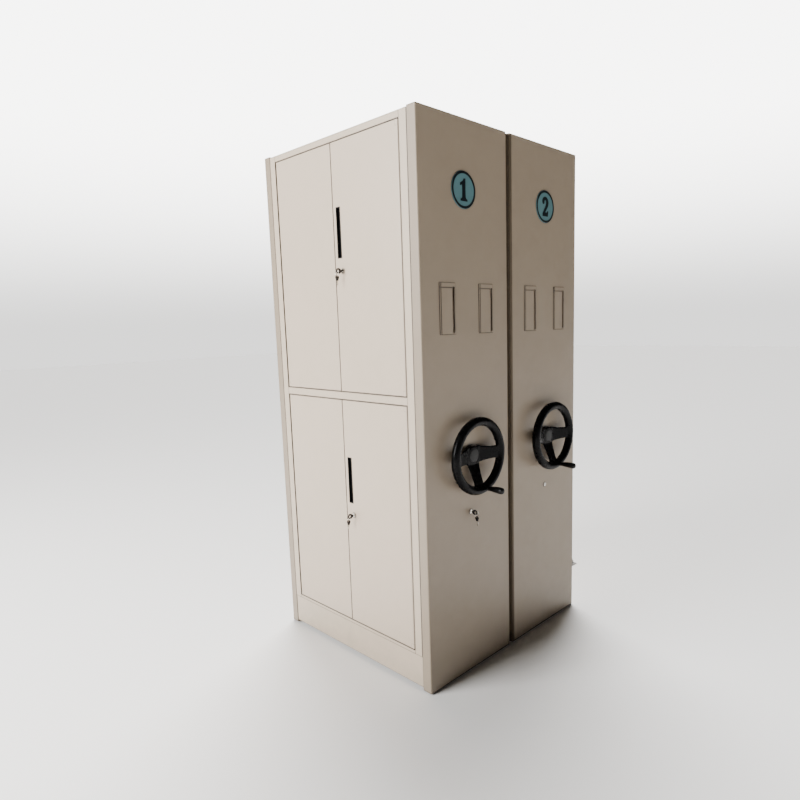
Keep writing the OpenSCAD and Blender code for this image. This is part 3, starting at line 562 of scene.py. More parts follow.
# Recessed pulls: dull black with a fine grain that breaks up the light
PULL_PLASTIC = MouldedPlastic("fine_grained_black_abs", "#080809", 0.5, hazed="#0e0e0f",
                              grain_depth_mm=0.03, sheen_share=0.3)
# Key bows: glossy black, hazed by handling
KEY_PLASTIC = MouldedPlastic("black_key_abs", "#101012", 0.3, hazed="#1b1b1e", haze_mm=8.0)
# Number signs: even grey teal with a weak gloss
SIGN_PLASTIC = MouldedPlastic("grey_teal_sign_acrylic", "#56797e", 0.36, hazed="#597c80",
                              haze_mm=220.0, sheen_share=0.3)
# Rings and numerals printed on the signs: navy so dark that it is nearly black
SIGN_INK = MouldedPlastic("dark_navy_sign_ink", "#050c12", 0.4, hazed="#060e15", sheen_share=0.2)
# The empty lock's keyhole: a thin sheet of dull black, painted shade that makes the slot look deep
KEYHOLE_DARK = MouldedPlastic("keyhole_shadow_black", "#060606", 0.7)
# Edge seals and the edge trim: dull dark brown with a lighter bloom
SEAL_RUBBER = ExtrudedRubber("dark_brown_seal_rubber", "#54483a", 0.75)
# Floor: matt off-white that takes soft shadows
FLOOR = PaleFloor("pale_studio_floor", "#f4f2ef", 0.9)

# The finish of each kind of CAD node; a node's number is left off
NODE_FINISHES: dict[str, Finish] = {
    "front_rail": TRACK_STEEL, "rear_rail": TRACK_STEEL, "track_ties": TRACK_STEEL,
    "rail_stops": TRACK_STEEL, "base_frame": PRIMED_STEEL, "bearings": CAST_BEARING,
    "drive_axle": MACHINED_STEEL, "drive_wheels": WHEEL_IRON, "axle_sprocket": MACHINED_STEEL,
    "idle_axle": MACHINED_STEEL, "idle_wheels": WHEEL_IRON, "hand_shaft": MACHINED_STEEL,
    "chain": CHAIN_STEEL, "hand_wheel": WHEEL_PLASTIC, "crank_grip": GRIP_PLASTIC,
    "front_panel": PANEL_COAT, "rear_panel": PANEL_COAT, "side_frames": CABINET_COAT,
    "shelves": CABINET_COAT, "shelf_clips": CLIP_ZINC, "plinths": CABINET_COAT,
    "top_panel": CABINET_COAT, "number_disc": SIGN_PLASTIC, "edge_seals": SEAL_RUBBER,
    "panel_lock": LOCK_NICKEL, "panel_key": KEY_PLASTIC, "door_frame": CABINET_COAT,
    "upper_near_door": DOOR_COAT, "upper_far_door": DOOR_COAT, "lower_near_door": DOOR_COAT,
    "lower_far_door": DOOR_COAT, "upper_pull": PULL_PLASTIC, "lower_pull": PULL_PLASTIC,
    "upper_door_lock": LOCK_NICKEL, "lower_door_lock": LOCK_NICKEL,
    "upper_door_key": KEY_PLASTIC, "lower_door_key": KEY_PLASTIC, "back_panel": CABINET_COAT,
}


def fresh_start() -> None:
    """Leaves edit mode and deselects everything, so that an operator acts only on what follows."""
    if bpy.context.mode != "OBJECT":
        bpy.ops.object.mode_set(mode="OBJECT")
    bpy.ops.object.select_all(action="DESELECT")


def only(piece: Piece) -> None:
    """Selects one object alone and makes it the active one.

    Args:
        piece: The object.
    """
    fresh_start()
    piece.select_set(True)
    bpy.context.view_layer.objects.active = piece


def edit(piece: Piece) -> None:
    """Opens a piece in edit mode with all of it selected.

    Args:
        piece: The piece.
    """
    only(piece)
    bpy.ops.object.mode_set(mode="EDIT")
    bpy.ops.mesh.select_all(action="SELECT")


def finish_modifier(piece: Piece, kind: str, **settings) -> None:
    """Adds a modifier and applies it.

    Args:
        piece: The mesh that it changes.
        kind: The modifier's type.
        settings: The modifier's own properties.
    """
    only(piece)
    modifier = piece.modifiers.new(kind.lower(), kind)
    for name, value in settings.items():
        setattr(modifier, name, value)
    bpy.ops.object.modifier_apply(modifier=modifier.name)


def outward(piece: Piece) -> None:
    """Merges doubles and turns every face outwards.

    Args:
        piece: The piece.
    """
    edit(piece)
    bpy.ops.mesh.remove_doubles(threshold=DOUBLES * MM)
    bpy.ops.mesh.normals_make_consistent(inside=False)
    fresh_start()


def fuse(base: Piece, *others: Piece) -> Piece:
    """Joins closed shapes into one closed shape.

    Args:
        base: The shape that stays.
        others: The shapes that become part of it.

    Returns:
        The base.
    """
    for other in others:
        finish_modifier(base, "BOOLEAN", operation="UNION", object=other, solver="EXACT")
        bpy.data.objects.remove(other)
    return base


def cut_away(base: Piece, cutter: Piece) -> None:
    """Cuts one shape out of another.

    Args:
        base: The shape that stays.
        cutter: The shape whose room is taken away; it is removed.
    """
    finish_modifier(base, "BOOLEAN", operation="DIFFERENCE", object=cutter, solver="EXACT")
    bpy.data.objects.remove(cutter)


def turned(profile: Profile, segments: int = 64) -> Piece:
    """Turns a closed form round Z: a disc is extruded and resized from point to point.

    Args:
        profile: The points along the form, as a height and a radius in millimetres.
        segments: How many sides the form has.

    Returns:
        The turned mesh.
    """
    fresh_start()
    height, radius = profile[0]
    bpy.ops.mesh.primitive_circle_add(vertices=segments, radius=radius * MM, fill_type="NGON",
                                      location=(0, 0, height * MM))
    piece = bpy.context.object
    bpy.ops.object.transform_apply()
    edit(piece)
    for next_height, next_radius in profile[1:]:
        rise = (0, 0, (next_height - height) * MM)
        bpy.ops.mesh.extrude_region_move(TRANSFORM_OT_translate={"value": rise})
        scale = next_radius / radius
        bpy.ops.transform.resize(value=(scale, scale, 1),
                                 center_override=(0, 0, next_height * MM))
        height, radius = next_height, next_radius
    outward(piece)
    return piece


def bar(size: Triple, centre: Triple) -> Piece:
    """Makes a bar along the axes.

    Args:
        size: Its sides, in millimetres.
        centre: Its middle, in millimetres.

    Returns:
        The bar.
    """
    fresh_start()
    bpy.ops.mesh.primitive_cube_add(size=1, location=Vector(centre) * MM)
    piece = bpy.context.object
    piece.scale = Vector(size) * MM
    bpy.ops.object.transform_apply()
    return piece


def turned_ring(radius: float, wire: float, segments: int, sides: int) -> Piece:
    """Makes a round ring of round wire about Z.

    Args:
        radius: The ring's radius to the middle of the wire, in millimetres.
        wire: The wire's radius, in millimetres.
        segments: How many steps go round the ring.
        sides: How many sides the wire has.

    Returns:
        The ring.
    """
    fresh_start()
    bpy.ops.mesh.primitive_torus_add(major_radius=radius * MM, minor_radius=wire * MM,
                                     major_segments=segments, minor_segments=sides)
    return bpy.context.object


def move(piece: Piece, turn: Matrix) -> Piece:
    """Turns and moves a piece, and leaves its object at the origin with its place in its mesh.

    Args:
        piece: The piece.
        turn: The turn and move.

    Returns:
        The piece.
    """
    only(piece)
    piece.matrix_world = turn @ piece.matrix_world
    bpy.ops.object.transform_apply()
    return piece


def round_off(piece: Piece, width: float, segments: int = 3) -> None:
    """Rounds a piece's sharp edges and smooths its shading.

    Args:
        piece: The piece.
        width: How far the rounding reaches from the edge, in millimetres.
        segments: How many steps round the edge.
    """
    finish_modifier(piece, "BEVEL", width=width * MM, segments=segments, limit_method="ANGLE",
                    angle_limit=SHARP)
    smooth_below(piece, SHARP)


def smooth_below(piece: Piece, angle: float) -> None:
    """Smooths a piece's shading, except over sharp edges.

    Args:
        piece: The piece.
        angle: The angle from which an edge counts as sharp, in radians.
    """
    only(piece)
    bpy.ops.object.shade_smooth_by_angle(angle=angle)


def smooth_all(piece: Piece) -> None:
    """Smooths all of a piece's shading."""
    only(piece)
    bpy.ops.object.shade_smooth()


def mesh_of_curve(curve: bpy.types.Curve) -> Piece:
    """Makes a mesh of a curve.

    Args:
        curve: The curve's data.

    Returns:
        The mesh.
    """
    piece = bpy.data.objects.new(curve.name, curve)
    bpy.context.scene.collection.objects.link(piece)
    only(piece)
    bpy.ops.object.convert(target="MESH")
    return bpy.context.object


def hand_over(piece: Piece, name: str, finish: Finish, body: str,
              stands_for: str | None = None) -> None:
    """Names a finished piece, gives it its finish and seats it on its body.

    Args:
        piece: The finished mesh.
        name: The piece's name.
        finish: Its finish.
        body: The body that it rides on.
        stands_for: The CAD node that it replaces, if any.
    """
    piece.name = name
    piece.data.name = name
    piece.data.materials.clear()
    piece.data.materials.append(finish.material())
    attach(piece, body)
    if stands_for:
        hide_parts(stands_for)
    log.info("%s rides on %s, %d faces", name, body, len(piece.data.polygons))


def joint_place(name: str) -> Vector:
    """Where a joint's axis passes, in metres in the row frame."""
    return Vector(next(j["pos_m"] for j in frame["joints"] if j["name"] == name))


def arc(first: int, step: int) -> list[float]:
    """Angles up to a quarter turn, in radians, from a first one and a step in degrees."""
    return [math.radians(a) for a in range(first, 91, step)]


@dataclass
class Studio:
    """A pale floor, soft lights and a camera where the photograph was taken from."""

    camera_place_m: Triple = (-2.2145, -2.1247, 1.521)
    camera_turn_deg: Triple = (81.459, 1.621, -45.811)
    lens_mm: float = 27.51
    shift: Pair = (-0.0286, 0.0192)
    sight_m: float = 200.0
    floor_m: float = 60.0
    softbox_place_m: Triple = (-5.6, 1.6, 3.2)
    softbox_m: float = 3.2
    softbox_w: float = 720.0
    top_w_m2: float = 7.0
    top_spread_deg: float = 40.0
    top_turn_deg: float = 135.0
    top_lean_deg: float = 38.0
    top_over_m: float = 2.0
    sky: str = "#f7f1e8"
    sky_light: float = 0.05
    backdrop: str = "#fffefc"
    backdrop_low: float = 1.72
    backdrop_high: float = 7.0
    backdrop_rise: float = 0.3

    def build(self) -> None:
        """Makes the camera, the floor, the lights and the sky."""
        self.camera()
        self.floor()
        self.softbox()
        self.top_light()
        self.sky_dome()
        log.info("the studio has its camera, floor, lights and sky")

    def camera(self) -> None:
        """Makes the camera, at the photograph's viewing angle."""
        fresh_start()
        turn = Euler([math.radians(a) for a in self.camera_turn_deg])
        bpy.ops.object.camera_add(location=self.camera_place_m, rotation=turn)
        camera = bpy.context.object
        camera.name = "photo_camera"
        camera.data.lens = self.lens_mm
        camera.data.shift_x, camera.data.shift_y = self.shift
        camera.data.clip_end = self.sight_m
        bpy.context.scene.camera = camera

    def floor(self) -> None:
        """Makes the floor that the track lies on."""
        fresh_start()
        bpy.ops.mesh.primitive_plane_add(size=self.floor_m)
        floor = bpy.context.object
        floor.name = "studio_floor"
        floor.data.materials.append(FLOOR.material())

    def softbox(self) -> None:
        """Hangs a square softbox on the doors' side, which looks at the middle of the shelving."""
        fresh_start()
        aim = (cad_low + cad_high) / 2 - Vector(self.softbox_place_m)
        bpy.ops.object.light_add(type="AREA", location=self.softbox_place_m,
                                 rotation=aim.to_track_quat("-Z", "Y").to_euler())
        light = bpy.context.object
        light.name = "key_softbox"
        light.data.size = self.softbox_m
        light.data.energy = self.softbox_w

    def top_light(self) -> None:
        """Adds soft light from above and behind, which leaves the end panels in shade."""
        fresh_start()
        turn = Matrix.Rotation(math.radians(self.top_turn_deg), 3, "Z")
        lean = Matrix.Rotation(math.radians(self.top_lean_deg), 3, "X")
        bpy.ops.object.light_add(type="SUN", location=(0, 0, cad_high.z + self.top_over_m),
                                 rotation=(turn @ lean).to_euler())
        light = bpy.context.object
        light.name = "ceiling_light"
        light.data.energy = self.top_w_m2
        light.data.angle = math.radians(self.top_spread_deg)

    def sky_dome(self) -> None:
        """Adds weak light from all round, seen as a pale backdrop that is brighter higher up."""
        world = bpy.data.worlds.new("studio_sky")
        world.use_nodes = True
        bpy.context.scene.world = world
        tree = world.node_tree
        glow = tree.nodes["Background"]
        glow.inputs["Color"].default_value = linear(self.sky)
        glow.inputs["Strength"].default_value = self.sky_light
        ray = add_node(tree, "ShaderNodeTexCoord").outputs["Generated"]
        height = add_node(tree, "ShaderNodeSeparateXYZ", {"Vector": ray}).outputs["Z"]
        rise = add_node(tree, "ShaderNodeMapRange",
                        {"Value": height, "From Max": self.backdrop_rise,
                         "To Min": self.backdrop_low, "To Max": self.backdrop_high},
                        interpolation_type="SMOOTHSTEP")
        seen = add_node(tree, "ShaderNodeBackground",
                        {"Color": linear(self.backdrop), "Strength": rise.outputs["Result"]})
        path = add_node(tree, "ShaderNodeLightPath")
        both = add_node(tree, "ShaderNodeMixShader",
                        {0: path.outputs["Is Camera Ray"], 1: glow.outputs["Background"],
                         2: seen.outputs["Background"]})
        tree.links.new(both.outputs["Shader"], tree.nodes["World Output"].inputs["Surface"])


@dataclass
class PackedParts:
    """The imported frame's own parts, each of which gets its finish."""

    finishes: dict[str, Finish] = field(default_factory=lambda: NODE_FINISHES)

    def build(self) -> None:
        """Gives every CAD node the material of its kind."""
        for name, node in frame["nodes"].items():
            kind = name[:-2] if name[-2:] in ("_1", "_2") else name
            node.data.materials.clear()
            node.data.materials.append(self.finishes[kind].material())
            log.info("%s is finished in %s", name, self.finishes[kind].name)


@dataclass
class NumberSign:
    """What is printed on a carriage's round sign: a ring along its edge and the number."""

    carriage: Carriage
    ring_w: float = 9.5
    edge: float = 0.9
    ink_t: float = 0.4
    ring_sides: int = 128
    curve_steps: int = 8

    def build(self) -> None:
        """Makes the ring and the numeral on the sign's face."""
        low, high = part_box(self.carriage.node("number_disc"))
        face = Facing.PANEL.at(Vector(((low.x + high.x) / 2, low.y, (low.z + high.z) / 2)))
        radius = (high.x - low.x) / 2 / MM - self.edge
        for piece, name in ((self.ring(radius), "sign_ring"), (self.numeral(), "sign_numeral")):
            move(piece, face)
            hand_over(piece, self.carriage.node(name), SIGN_INK, self.carriage.body)

    def ring(self, radius: float) -> Piece:
        """Makes the flat ring, which stands on the sign by the thickness of its ink.

        Args:
            radius: The ring's outer radius, in millimetres.

        Returns:
            The ring.
        """
        fresh_start()
        bpy.ops.mesh.primitive_circle_add(vertices=self.ring_sides, radius=radius * MM)
        ring = bpy.context.object
        edit(ring)
        inner = (radius - self.ring_w) / radius
        bpy.ops.mesh.extrude_edges_move()
        bpy.ops.transform.resize(value=(inner, inner, 1), center_override=(0, 0, 0))
        bpy.ops.mesh.select_all(action="SELECT")
        ink = (0, 0, self.ink_t * MM)
        bpy.ops.mesh.extrude_region_move(TRANSFORM_OT_translate={"value": ink})
        outward(ring)
        return ring

    def numeral(self) -> Piece:
        """Draws the numeral as a flat curve and thickens it.

        Returns:
            The numeral.
        """
        outline = Numeral.ONE if self.carriage is Carriage.FIRST else Numeral.TWO
        curve = bpy.data.curves.new("numeral", "CURVE")
        curve.dimensions = "2D"
        curve.fill_mode = "BOTH"
        curve.resolution_u = self.curve_steps
        curve.extrude = self.ink_t * MM / 2
        line = curve.splines.new("BEZIER")
        line.bezier_points.add(len(outline.value) - 1)
        line.use_cyclic_u = True
        for point, (x, y, is_round) in zip(line.bezier_points, outline.value):
            point.co = Vector((x, y, 0)) * MM
            kind = "AUTO" if is_round else "VECTOR"
            point.handle_left_type = point.handle_right_type = kind
        numeral = mesh_of_curve(curve)
        move(numeral, Matrix.Translation((0, 0, self.ink_t * MM / 2)))
        outward(numeral)
        return numeral


@dataclass
class HandWheel:
    """The moulded hand wheel: a round rim, three wide dished arms that flow into it, and a hub.

    An arm starts inside the hub, narrows to its neck and widens again to the rim. The root is a
    share of the hub's radius and the neck one of the arm's reach, and the flare is what half of
    the arm's width gains towards the hub.
    """

    carriage: Carriage
    rim_r: float = 145.0
    tube_r: float = 19.0
    rim_out: float = 50.0
    rim_steps: int = 128
    tube_sides: int = 32
    hub_r: float = 40.0
    hub_top: float = 24.0
    hub_back: float = 3.0
    hub_slope: float = 5.0
    hub_round: float = 1.5
    arm_root: float = 0.6
    arm_neck: float = 0.7
    arm_half_w: float = 27.0
    arm_flare: float = 12.0
    arm_t: float = 9.0
    arm_round: float = 2.5
    arm_steps: int = 8
    arm_turns_deg: Triple = (0.0, 180.0, 270.0)
    arm_sharp_deg: float = 50.0
    boss_turn_deg: float = -77.0
    boss_r: float = 9.0
    boss_out: float = 70.7
    boss_sides: int = 32
    voxel: float = 1.6
    smoothings: int = 8
    cap_r: float = 29.0
    cap_sunk: float = 1.0
    cap_wall: float = 0.6
    cap_rise: float = 2.2
    cap_least_r: float = 0.01
    cap_step_deg: int = 12
    cap_sharp_deg: float = 40.0

    def build(self) -> None:
        """Makes the wheel and its hub cap."""
        node = body = self.carriage.node("hand_wheel")
        place = Facing.PANEL.at(joint_place(node + "_turn"))
        hand_over(move(self.wheel(), place), self.carriage.node("moulded_hand_wheel"),
                  WHEEL_PLASTIC, body, node)
        hand_over(move(self.cap(), place), self.carriage.node("hub_cap"), GRIP_PLASTIC, body)

    def wheel(self) -> Piece:
        """Casts rim, arms, hub and the grip's boss into one by a fine remesh, and smooths it.

        Returns:
            The wheel.
        """
        rim = move(turned_ring(self.rim_r, self.tube_r, self.rim_steps, self.tube_sides),
                   Matrix.Translation((0, 0, self.rim_out * MM)))
        hub = turned([
            (self.hub_back, self.hub_r - self.hub_slope),
            (self.hub_back + self.hub_slope, self.hub_r),
            (self.hub_top - self.hub_slope, self.hub_r),
            (self.hub_top - self.hub_round, self.hub_r - self.hub_round),
            (self.hub_top, self.hub_r - self.hub_slope),
        ])
        turn = math.radians(self.boss_turn_deg)
        on_rim = Vector((math.cos(turn), math.sin(turn), 0)) * self.rim_r * MM
        boss = turned([(self.rim_out, self.boss_r), (self.boss_out, self.boss_r)],
                      self.boss_sides)
        move(boss, Matrix.Translation(on_rim))
        arms = [move(self.arm(), Matrix.Rotation(math.radians(a), 4, "Z"))
                for a in self.arm_turns_deg]
        wheel = fuse(rim, hub, *arms, boss)
        finish_modifier(wheel, "REMESH", mode="VOXEL", voxel_size=self.voxel * MM)
        finish_modifier(wheel, "CORRECTIVE_SMOOTH", iterations=self.smoothings,
                        smooth_type="SIMPLE", use_only_smooth=True)
        smooth_all(wheel)
        return wheel

    def arm(self) -> Piece:
        """Extrudes one arm along +X as a strip that rises from the hub to the rim, and thickens it.

        Returns:
            The arm.
        """
        start = self.hub_r * self.arm_root
        neck = start + (self.rim_r - start) * self.arm_neck
        fresh_start()
        bpy.ops.mesh.primitive_plane_add(size=1)
        arm = bpy.context.object
        self.keep_right_edge(arm)
        half_w = 0.5
        at = Vector((half_w, 0, 0))
        for k in range(self.arm_steps + 1):
            r = start + (self.rim_r - start) * k / self.arm_steps
            share = (r - neck) / (neck - start)
            next_at = Vector((r, 0, self.arm_height(r))) * MM
            next_half_w = (self.arm_half_w + self.arm_flare * share * share) * MM
            if k:
                bpy.ops.mesh.extrude_edges_move()
            bpy.ops.transform.translate(value=next_at - at)
            bpy.ops.transform.resize(value=(1, next_half_w / half_w, 1),
                                     center_override=next_at)
            at, half_w = next_at, next_half_w
        fresh_start()
        finish_modifier(arm, "SOLIDIFY", thickness=self.arm_t * MM, offset=0.0)
        outward(arm)
        finish_modifier(arm, "BEVEL", width=self.arm_round * MM, segments=3,
                        limit_method="ANGLE", angle_limit=math.radians(self.arm_sharp_deg))
        return arm

    def keep_right_edge(self, plane: Piece) -> None:
        """Leaves of a plane only its edge at +X, selected in edit mode.

        Args:
            plane: The plane.
        """
        edit(plane)
        bpy.ops.mesh.delete(type="ONLY_FACE")
        bpy.ops.mesh.select_all(action="DESELECT")
        bpy.ops.object.mode_set(mode="OBJECT")
        for vertex in plane.data.vertices:
            vertex.select = vertex.co.x > 0
        bpy.ops.object.mode_set(mode="EDIT")
        bpy.ops.mesh.select_all(action="INVERT")
        bpy.ops.mesh.delete(type="VERT")
        bpy.ops.mesh.select_all(action="SELECT")

    def arm_height(self, r: float) -> float:
        """Works out the dish: how far out of the panel the arm's middle is.

        Args:
            r: How far from the wheel's middle, in millimetres.

        Returns:
            The height, in millimetres.
        """
        low = self.hub_top - self.arm_t / 2 - self.hub_round
        share = (r - self.hub_r) / (self.rim_r - self.tube_r - self.hub_r)
        return low + (self.rim_out - low) * min(1.0, max(0.0, share))

    def cap(self) -> Piece:
        """Makes the hub's cap: a low dome on a short wall, sunk a little in the hub.

        The least radius keeps the dome's top ring from closing to a point.

        Returns:
            The cap.
        """
        wall_top = self.hub_top + self.cap_wall
        wall = [(self.hub_top - self.cap_sunk, self.cap_r), (wall_top, self.cap_r)]
        dome = [(wall_top + self.cap_rise * math.sin(a),
                 self.cap_r * math.cos(a) + self.cap_least_r)
                for a in arc(self.cap_step_deg, self.cap_step_deg)]
        cap = turned(wall + dome)
        smooth_below(cap, math.radians(self.cap_sharp_deg))
        return cap


@dataclass
class CrankGrip:
    """The grip that turns on the rim's pin: a barrel with a collar at its thin root and a dome."""

    carriage: Carriage
    root_out: float = 71.0
    length: float = 80.0
    radius: float = 14.0
    root_r: float = 9.0
    root_in: float = 1.0
    collar_l: float = 4.0
    collar_stand: float = 1.6
    collar_edge: float = 0.6
    groove_l: float = 1.0
    groove_stand: float = 0.4
    dome_l: float = 11.0
    dome_step_deg: int = 15
    swell_steps: int = 8
    sharp_deg: float = 50.0

    def build(self) -> None:
        """Makes the grip over its CAD node."""
        node = body = self.carriage.node("crank_grip")
        wheel = joint_place(self.carriage.node("hand_wheel") + "_turn")
        pin = joint_place(node + "_spin")
        grip = turned([(self.root_out + z, radius) for z, radius in self.profile()])
        smooth_below(grip, math.radians(self.sharp_deg))
        move(grip, Facing.PANEL.at(Vector((pin.x, wheel.y, pin.z))))
        hand_over(grip, self.carriage.node("turned_crank_grip"), GRIP_PLASTIC, body,
                  node)

    def profile(self) -> Profile:
        """Draws the collar, the groove behind it, the swell up to the full radius and the dome.

        Returns:
            The points, as a height above the root and a radius.
        """
        collar_r = self.root_r + self.collar_stand
        collar = [(0, self.root_r - self.root_in), (self.collar_edge, collar_r),
                  (self.collar_l - self.collar_edge, collar_r),
                  (self.collar_l, self.root_r + self.groove_stand)]
        swell_l = self.length - self.dome_l - self.collar_l - self.groove_l
        swell = [(self.collar_l + self.groove_l + swell_l * k / self.swell_steps,
                  self.root_r
                  + (self.radius - self.root_r) * math.sin(QUARTER * k / self.swell_steps))
                 for k in range(self.swell_steps + 1)]
        dome = [(self.length - self.dome_l * (1 - math.sin(a)),
                 self.radius - self.dome_l * (1 - math.cos(a)))
                for a in arc(self.dome_step_deg, self.dome_step_deg)]
        return collar + swell + dome


@dataclass
class KeySet:
    """A key standing in a lock, with a ring through its bow and a spare key that hangs from it.

    A bow is drawn in the Y-Z plane with its hole towards +Y and its neck towards -Y, and the
    blade runs on from the neck. The hole stands off the bow's middle by its out size. The ring
    leans in the bow's hole, so that it clears the bow when the key has turned a quarter.
    """

    name: str
    facing: Facing
    lock_joint: str
    key_node: str
    key_body: str
    hanging_body: str
    swing_deg: float
    plug_out: float = 2.5
    stem_l: float = 9.0
    stem_round: float = 0.3
    bow_r: float = 12.0
    bow_t: float = 3.4
    bow_round: float = 0.9
    bow_sides: int = 48
    hole_r: float = 5.2
    hole_out: float = 2.6
    hole_sides: int = 32
    neck_l: float = 7.0
    neck_out: float = 0.5
    neck_past_blade: float = 4.0
    ring_r: float = 12.0
    ring_wire: float = 0.8
    ring_steps: int = 48
    ring_sides: int = 10
    ring_lean_deg: float = 45.0
    spare_r: float = 9.0
    spare_hole_r: float = 2.4
    spare_hole_out: float = 4.6
    spare_blade_l: float = 26.0
    spare_blade_in: float = 2.0
    blade_w: float = 7.0
    blade_t: float = 2.0
    blade_round: float = 0.25
    tip_share: float = 0.35
    notches: tuple[float, ...] = (0.6, 1.9, 1.1, 2.2, 0.8, 1.6)

    def build(self) -> None:
        """Makes the key in the lock, and the ring and spare key that hang from it."""
        lock = self.facing.at(joint_place(self.lock_joint))
        bow_z = self.plug_out + self.stem_l + self.bow_r
        self.key_in_lock(lock @ Matrix.Translation((0, 0, bow_z * MM)))
        self.ring_and_spare(lock, bow_z + self.hole_out)

    def key_in_lock(self, place: Matrix) -> None:
        """Makes the bow and the stem of the key that stands in the lock.

        Args:
            place: The place of the bow's middle, facing as the lock does.
        """
        stands_out = place @ Matrix.Rotation(QUARTER, 4, "X")
        bow = self.bow(self.bow_r, self.hole_r, self.hole_out)
        hand_over(move(bow, stands_out), f"{self.name}_key_bow", KEY_PLASTIC, self.key_body,
                  self.key_node)
        hand_over(move(self.stem(), stands_out), f"{self.name}_key_stem", LOCK_NICKEL,
                  self.key_body)

    def ring_and_spare(self, lock: Matrix, hole_z: float) -> None:
        """Makes the ring in the bow's hole and the spare key at the ring's lowest point.

        Args:
            lock: The lock's place.
            hole_z: How far out of the lock the hole's middle is, in millimetres.
        """
        lean = math.radians(self.ring_lean_deg)
        aside, below = self.ring_r * math.sin(lean), self.ring_r * math.cos(lean)
        ring = move(turned_ring(self.ring_r, self.ring_wire, self.ring_steps, self.ring_sides),
                    lock @ Matrix.Translation(Vector((-aside, -below, hole_z)) * MM))
        smooth_all(ring)
        hand_over(ring, f"{self.name}_key_ring", LOCK_NICKEL, self.hanging_body)
        lowest = Vector((-aside, -(below + self.ring_r), hole_z)) * MM
        swing = Matrix.Rotation(math.radians(self.swing_deg), 4, "X")
        slack = self.spare_hole_out + self.spare_hole_r - self.ring_wire
        spare = (lock @ Matrix.Translation(lowest) @ swing
                 @ Matrix.Translation((0, -slack * MM, 0)))
        bow = self.bow(self.spare_r, self.spare_hole_r, self.spare_hole_out)
        hand_over(move(bow, spare), f"{self.name}_spare_bow", KEY_PLASTIC, self.hanging_body)
        hand_over(move(self.spare_blade(), spare), f"{self.name}_spare_blade", LOCK_NICKEL,
                  self.hanging_body)

    def bow(self, radius: float, hole_r: float, hole_out: float) -> Piece:
        """Makes a round moulded bow with its hole and its neck.

        Args:
            radius: The bow's radius.
            hole_r: The radius of its hole.
            hole_out: How far the hole stands off the bow's middle.

        Returns:
            The bow, its middle at the origin.
        """
        across = Matrix.Rotation(QUARTER, 4, "Y")
        half = self.bow_t / 2
        disc = move(turned([(-half, radius), (half, radius)], self.bow_sides), across)
        neck = bar((self.bow_t, self.neck_l, self.blade_w + self.neck_past_blade),
                   (0, -(radius + self.neck_out), 0))
        bow = fuse(disc, neck)
        hole = turned([(-self.bow_t, hole_r), (self.bow_t, hole_r)], self.hole_sides)
        move(hole, Matrix.Translation((0, hole_out * MM, 0)) @ across)
        cut_away(bow, hole)
        round_off(bow, self.bow_round)
        return bow

    def stem(self) -> Piece:
        """Makes what shows of the blade between the plug and the bow of the key in the lock.

        Returns:
            The stem, placed from the bow's middle.
        """
        reach = self.stem_l + self.bow_r / 2
        stem = bar((self.blade_t, reach, self.blade_w), (0, -self.bow_r / 2 - reach / 2, 0))
        round_off(stem, self.stem_round, 2)
        return stem

    def spare_blade(self) -> Piece:
        """Makes the spare key's whole blade, notched along one edge and with a blunt point.

        Returns:
            The blade, placed from the bow's middle.
        """
        fresh_start()
        steps = 2 * len(self.notches)
        bpy.ops.mesh.primitive_grid_add(x_subdivisions=steps, y_subdivisions=1, size=1)
        blade = bpy.context.object
        blade.scale = (self.spare_blade_l * MM, self.blade_w * MM, 1)
        bpy.ops.object.transform_apply()
        for vertex in blade.data.vertices:
            along = vertex.co.x / MM + self.spare_blade_l / 2
            k = round(along / (self.spare_blade_l / steps))
            if k == steps:
                vertex.co.y *= self.tip_share
            elif vertex.co.y > 0 and k > 1:
                vertex.co.y -= self.notches[k // 2 % len(self.notches)] * MM
        finish_modifier(blade, "SOLIDIFY", thickness=self.blade_t * MM, offset=0.0)
        round_off(blade, self.blade_round, 2)
        down = Matrix.Rotation(QUARTER, 4, "Y") @ Matrix.Rotation(-QUARTER, 4, "Z")
        drop = (self.spare_r - self.spare_blade_in + self.spare_blade_l / 2) * MM
        return move(blade, Matrix.Translation((0, -drop, 0)) @ down)


@dataclass
class Keyhole:
    """The slot in the face of a lock plug that has no key in it, drawn as a thin dark sheet of
    painted shade.
    """

    name: str
    facing: Facing
    lock_joint: str
    body: str
    plug_out: float = 2.5
    slot_h: float = 8.0
    slot_w: float = 2.2
    depth: float = 0.12
    round_share: float = 0.4
    round_steps: int = 4

    def build(self) -> None:
        """Makes the slot's painted shade: a thin dark sheet on the plug's face."""
        # Painted shade: the dark sheet stands in for the shadow inside the keyhole
        slot = bar((self.slot_w, self.slot_h, self.depth), (0, 0, self.plug_out))
        edit(slot)
        bpy.ops.mesh.bevel(offset=self.slot_w * self.round_share * MM,
                           segments=self.round_steps, affect="EDGES")
        fresh_start()
        move(slot, self.facing.at(joint_place(self.lock_joint)))
        hand_over(slot, self.name, KEYHOLE_DARK, self.body)


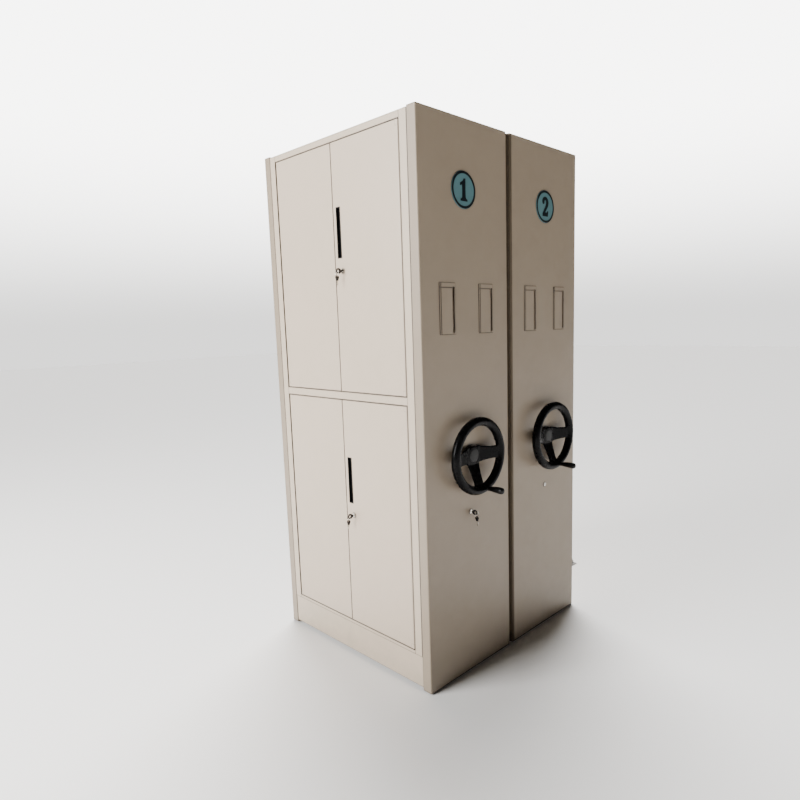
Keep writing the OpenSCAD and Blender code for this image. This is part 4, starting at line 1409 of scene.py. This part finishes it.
@dataclass
class EdgeTrim:
    """The rubber angle on an end panel's upright edge, which the other carriage closes on."""

    name: str
    panel: str
    body: str
    face_w: float = 9.0
    side_w: float = 9.0
    corner_r: float = 6.0
    corner_step_deg: int = 15
    wall: float = 1.2
    end_gap: float = 6.0
    edge_round: float = 0.4

    def build(self) -> None:
        """Makes the angle as a ribbon round the edge and gives it its wall."""
        low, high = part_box(self.panel)
        curve = bpy.data.curves.new(self.name, "CURVE")
        curve.dimensions = "3D"
        curve.extrude = (high.z - low.z) / 2 - self.end_gap * MM
        line = curve.splines.new("POLY")
        path = self.path()
        line.points.add(len(path) - 1)
        for point, (x, y) in zip(line.points, path):
            point.co = (x * MM, y * MM, 0, 1)
        trim = mesh_of_curve(curve)
        finish_modifier(trim, "SOLIDIFY", thickness=self.wall * MM, offset=0.0)
        outward(trim)
        move(trim, Matrix.Translation((low.x, low.y, (low.z + high.z) / 2)))
        round_off(trim, self.edge_round, 2)
        hand_over(trim, self.name, SEAL_RUBBER, self.body)

    def path(self) -> Profile:
        """Draws the middle of the wall, from the panel's face round its corner to its side.

        Returns:
            The points, in plan and from the panel's own corner.
        """
        out = self.wall / 2
        turn = [(self.corner_r - (self.corner_r + out) * math.sin(a),
                 self.corner_r - (self.corner_r + out) * math.cos(a))
                for a in arc(0, self.corner_step_deg)]
        return [(self.face_w, -out)] + turn + [(-out, self.side_w)]


def main() -> None:
    """Builds the studio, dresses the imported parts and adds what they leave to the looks."""
    logging.basicConfig(level=logging.INFO, format="%(message)s")
    Studio().build()
    PackedParts().build()
    for carriage in Carriage:
        NumberSign(carriage).build()
        HandWheel(carriage).build()
        CrankGrip(carriage).build()
    KeySet("panel", Facing.PANEL, "panel_lock_1_turn", "panel_key_1", "panel_lock_1",
           "carriage_1", -6.0, ring_lean_deg=-45.0).build()
    for level, swing in (("upper", 3.0), ("lower", -3.0)):
        KeySet(level, Facing.DOORS, f"{level}_door_lock_turn", f"{level}_door_key",
               f"{level}_door_lock", f"{level}_near_door", swing).build()
    Keyhole("panel_keyhole_2", Facing.PANEL, "panel_lock_2_turn", "panel_lock_2").build()
    EdgeTrim("front_edge_trim", "front_panel_2", "carriage_2").build()


if __name__ == "__main__":
    main()
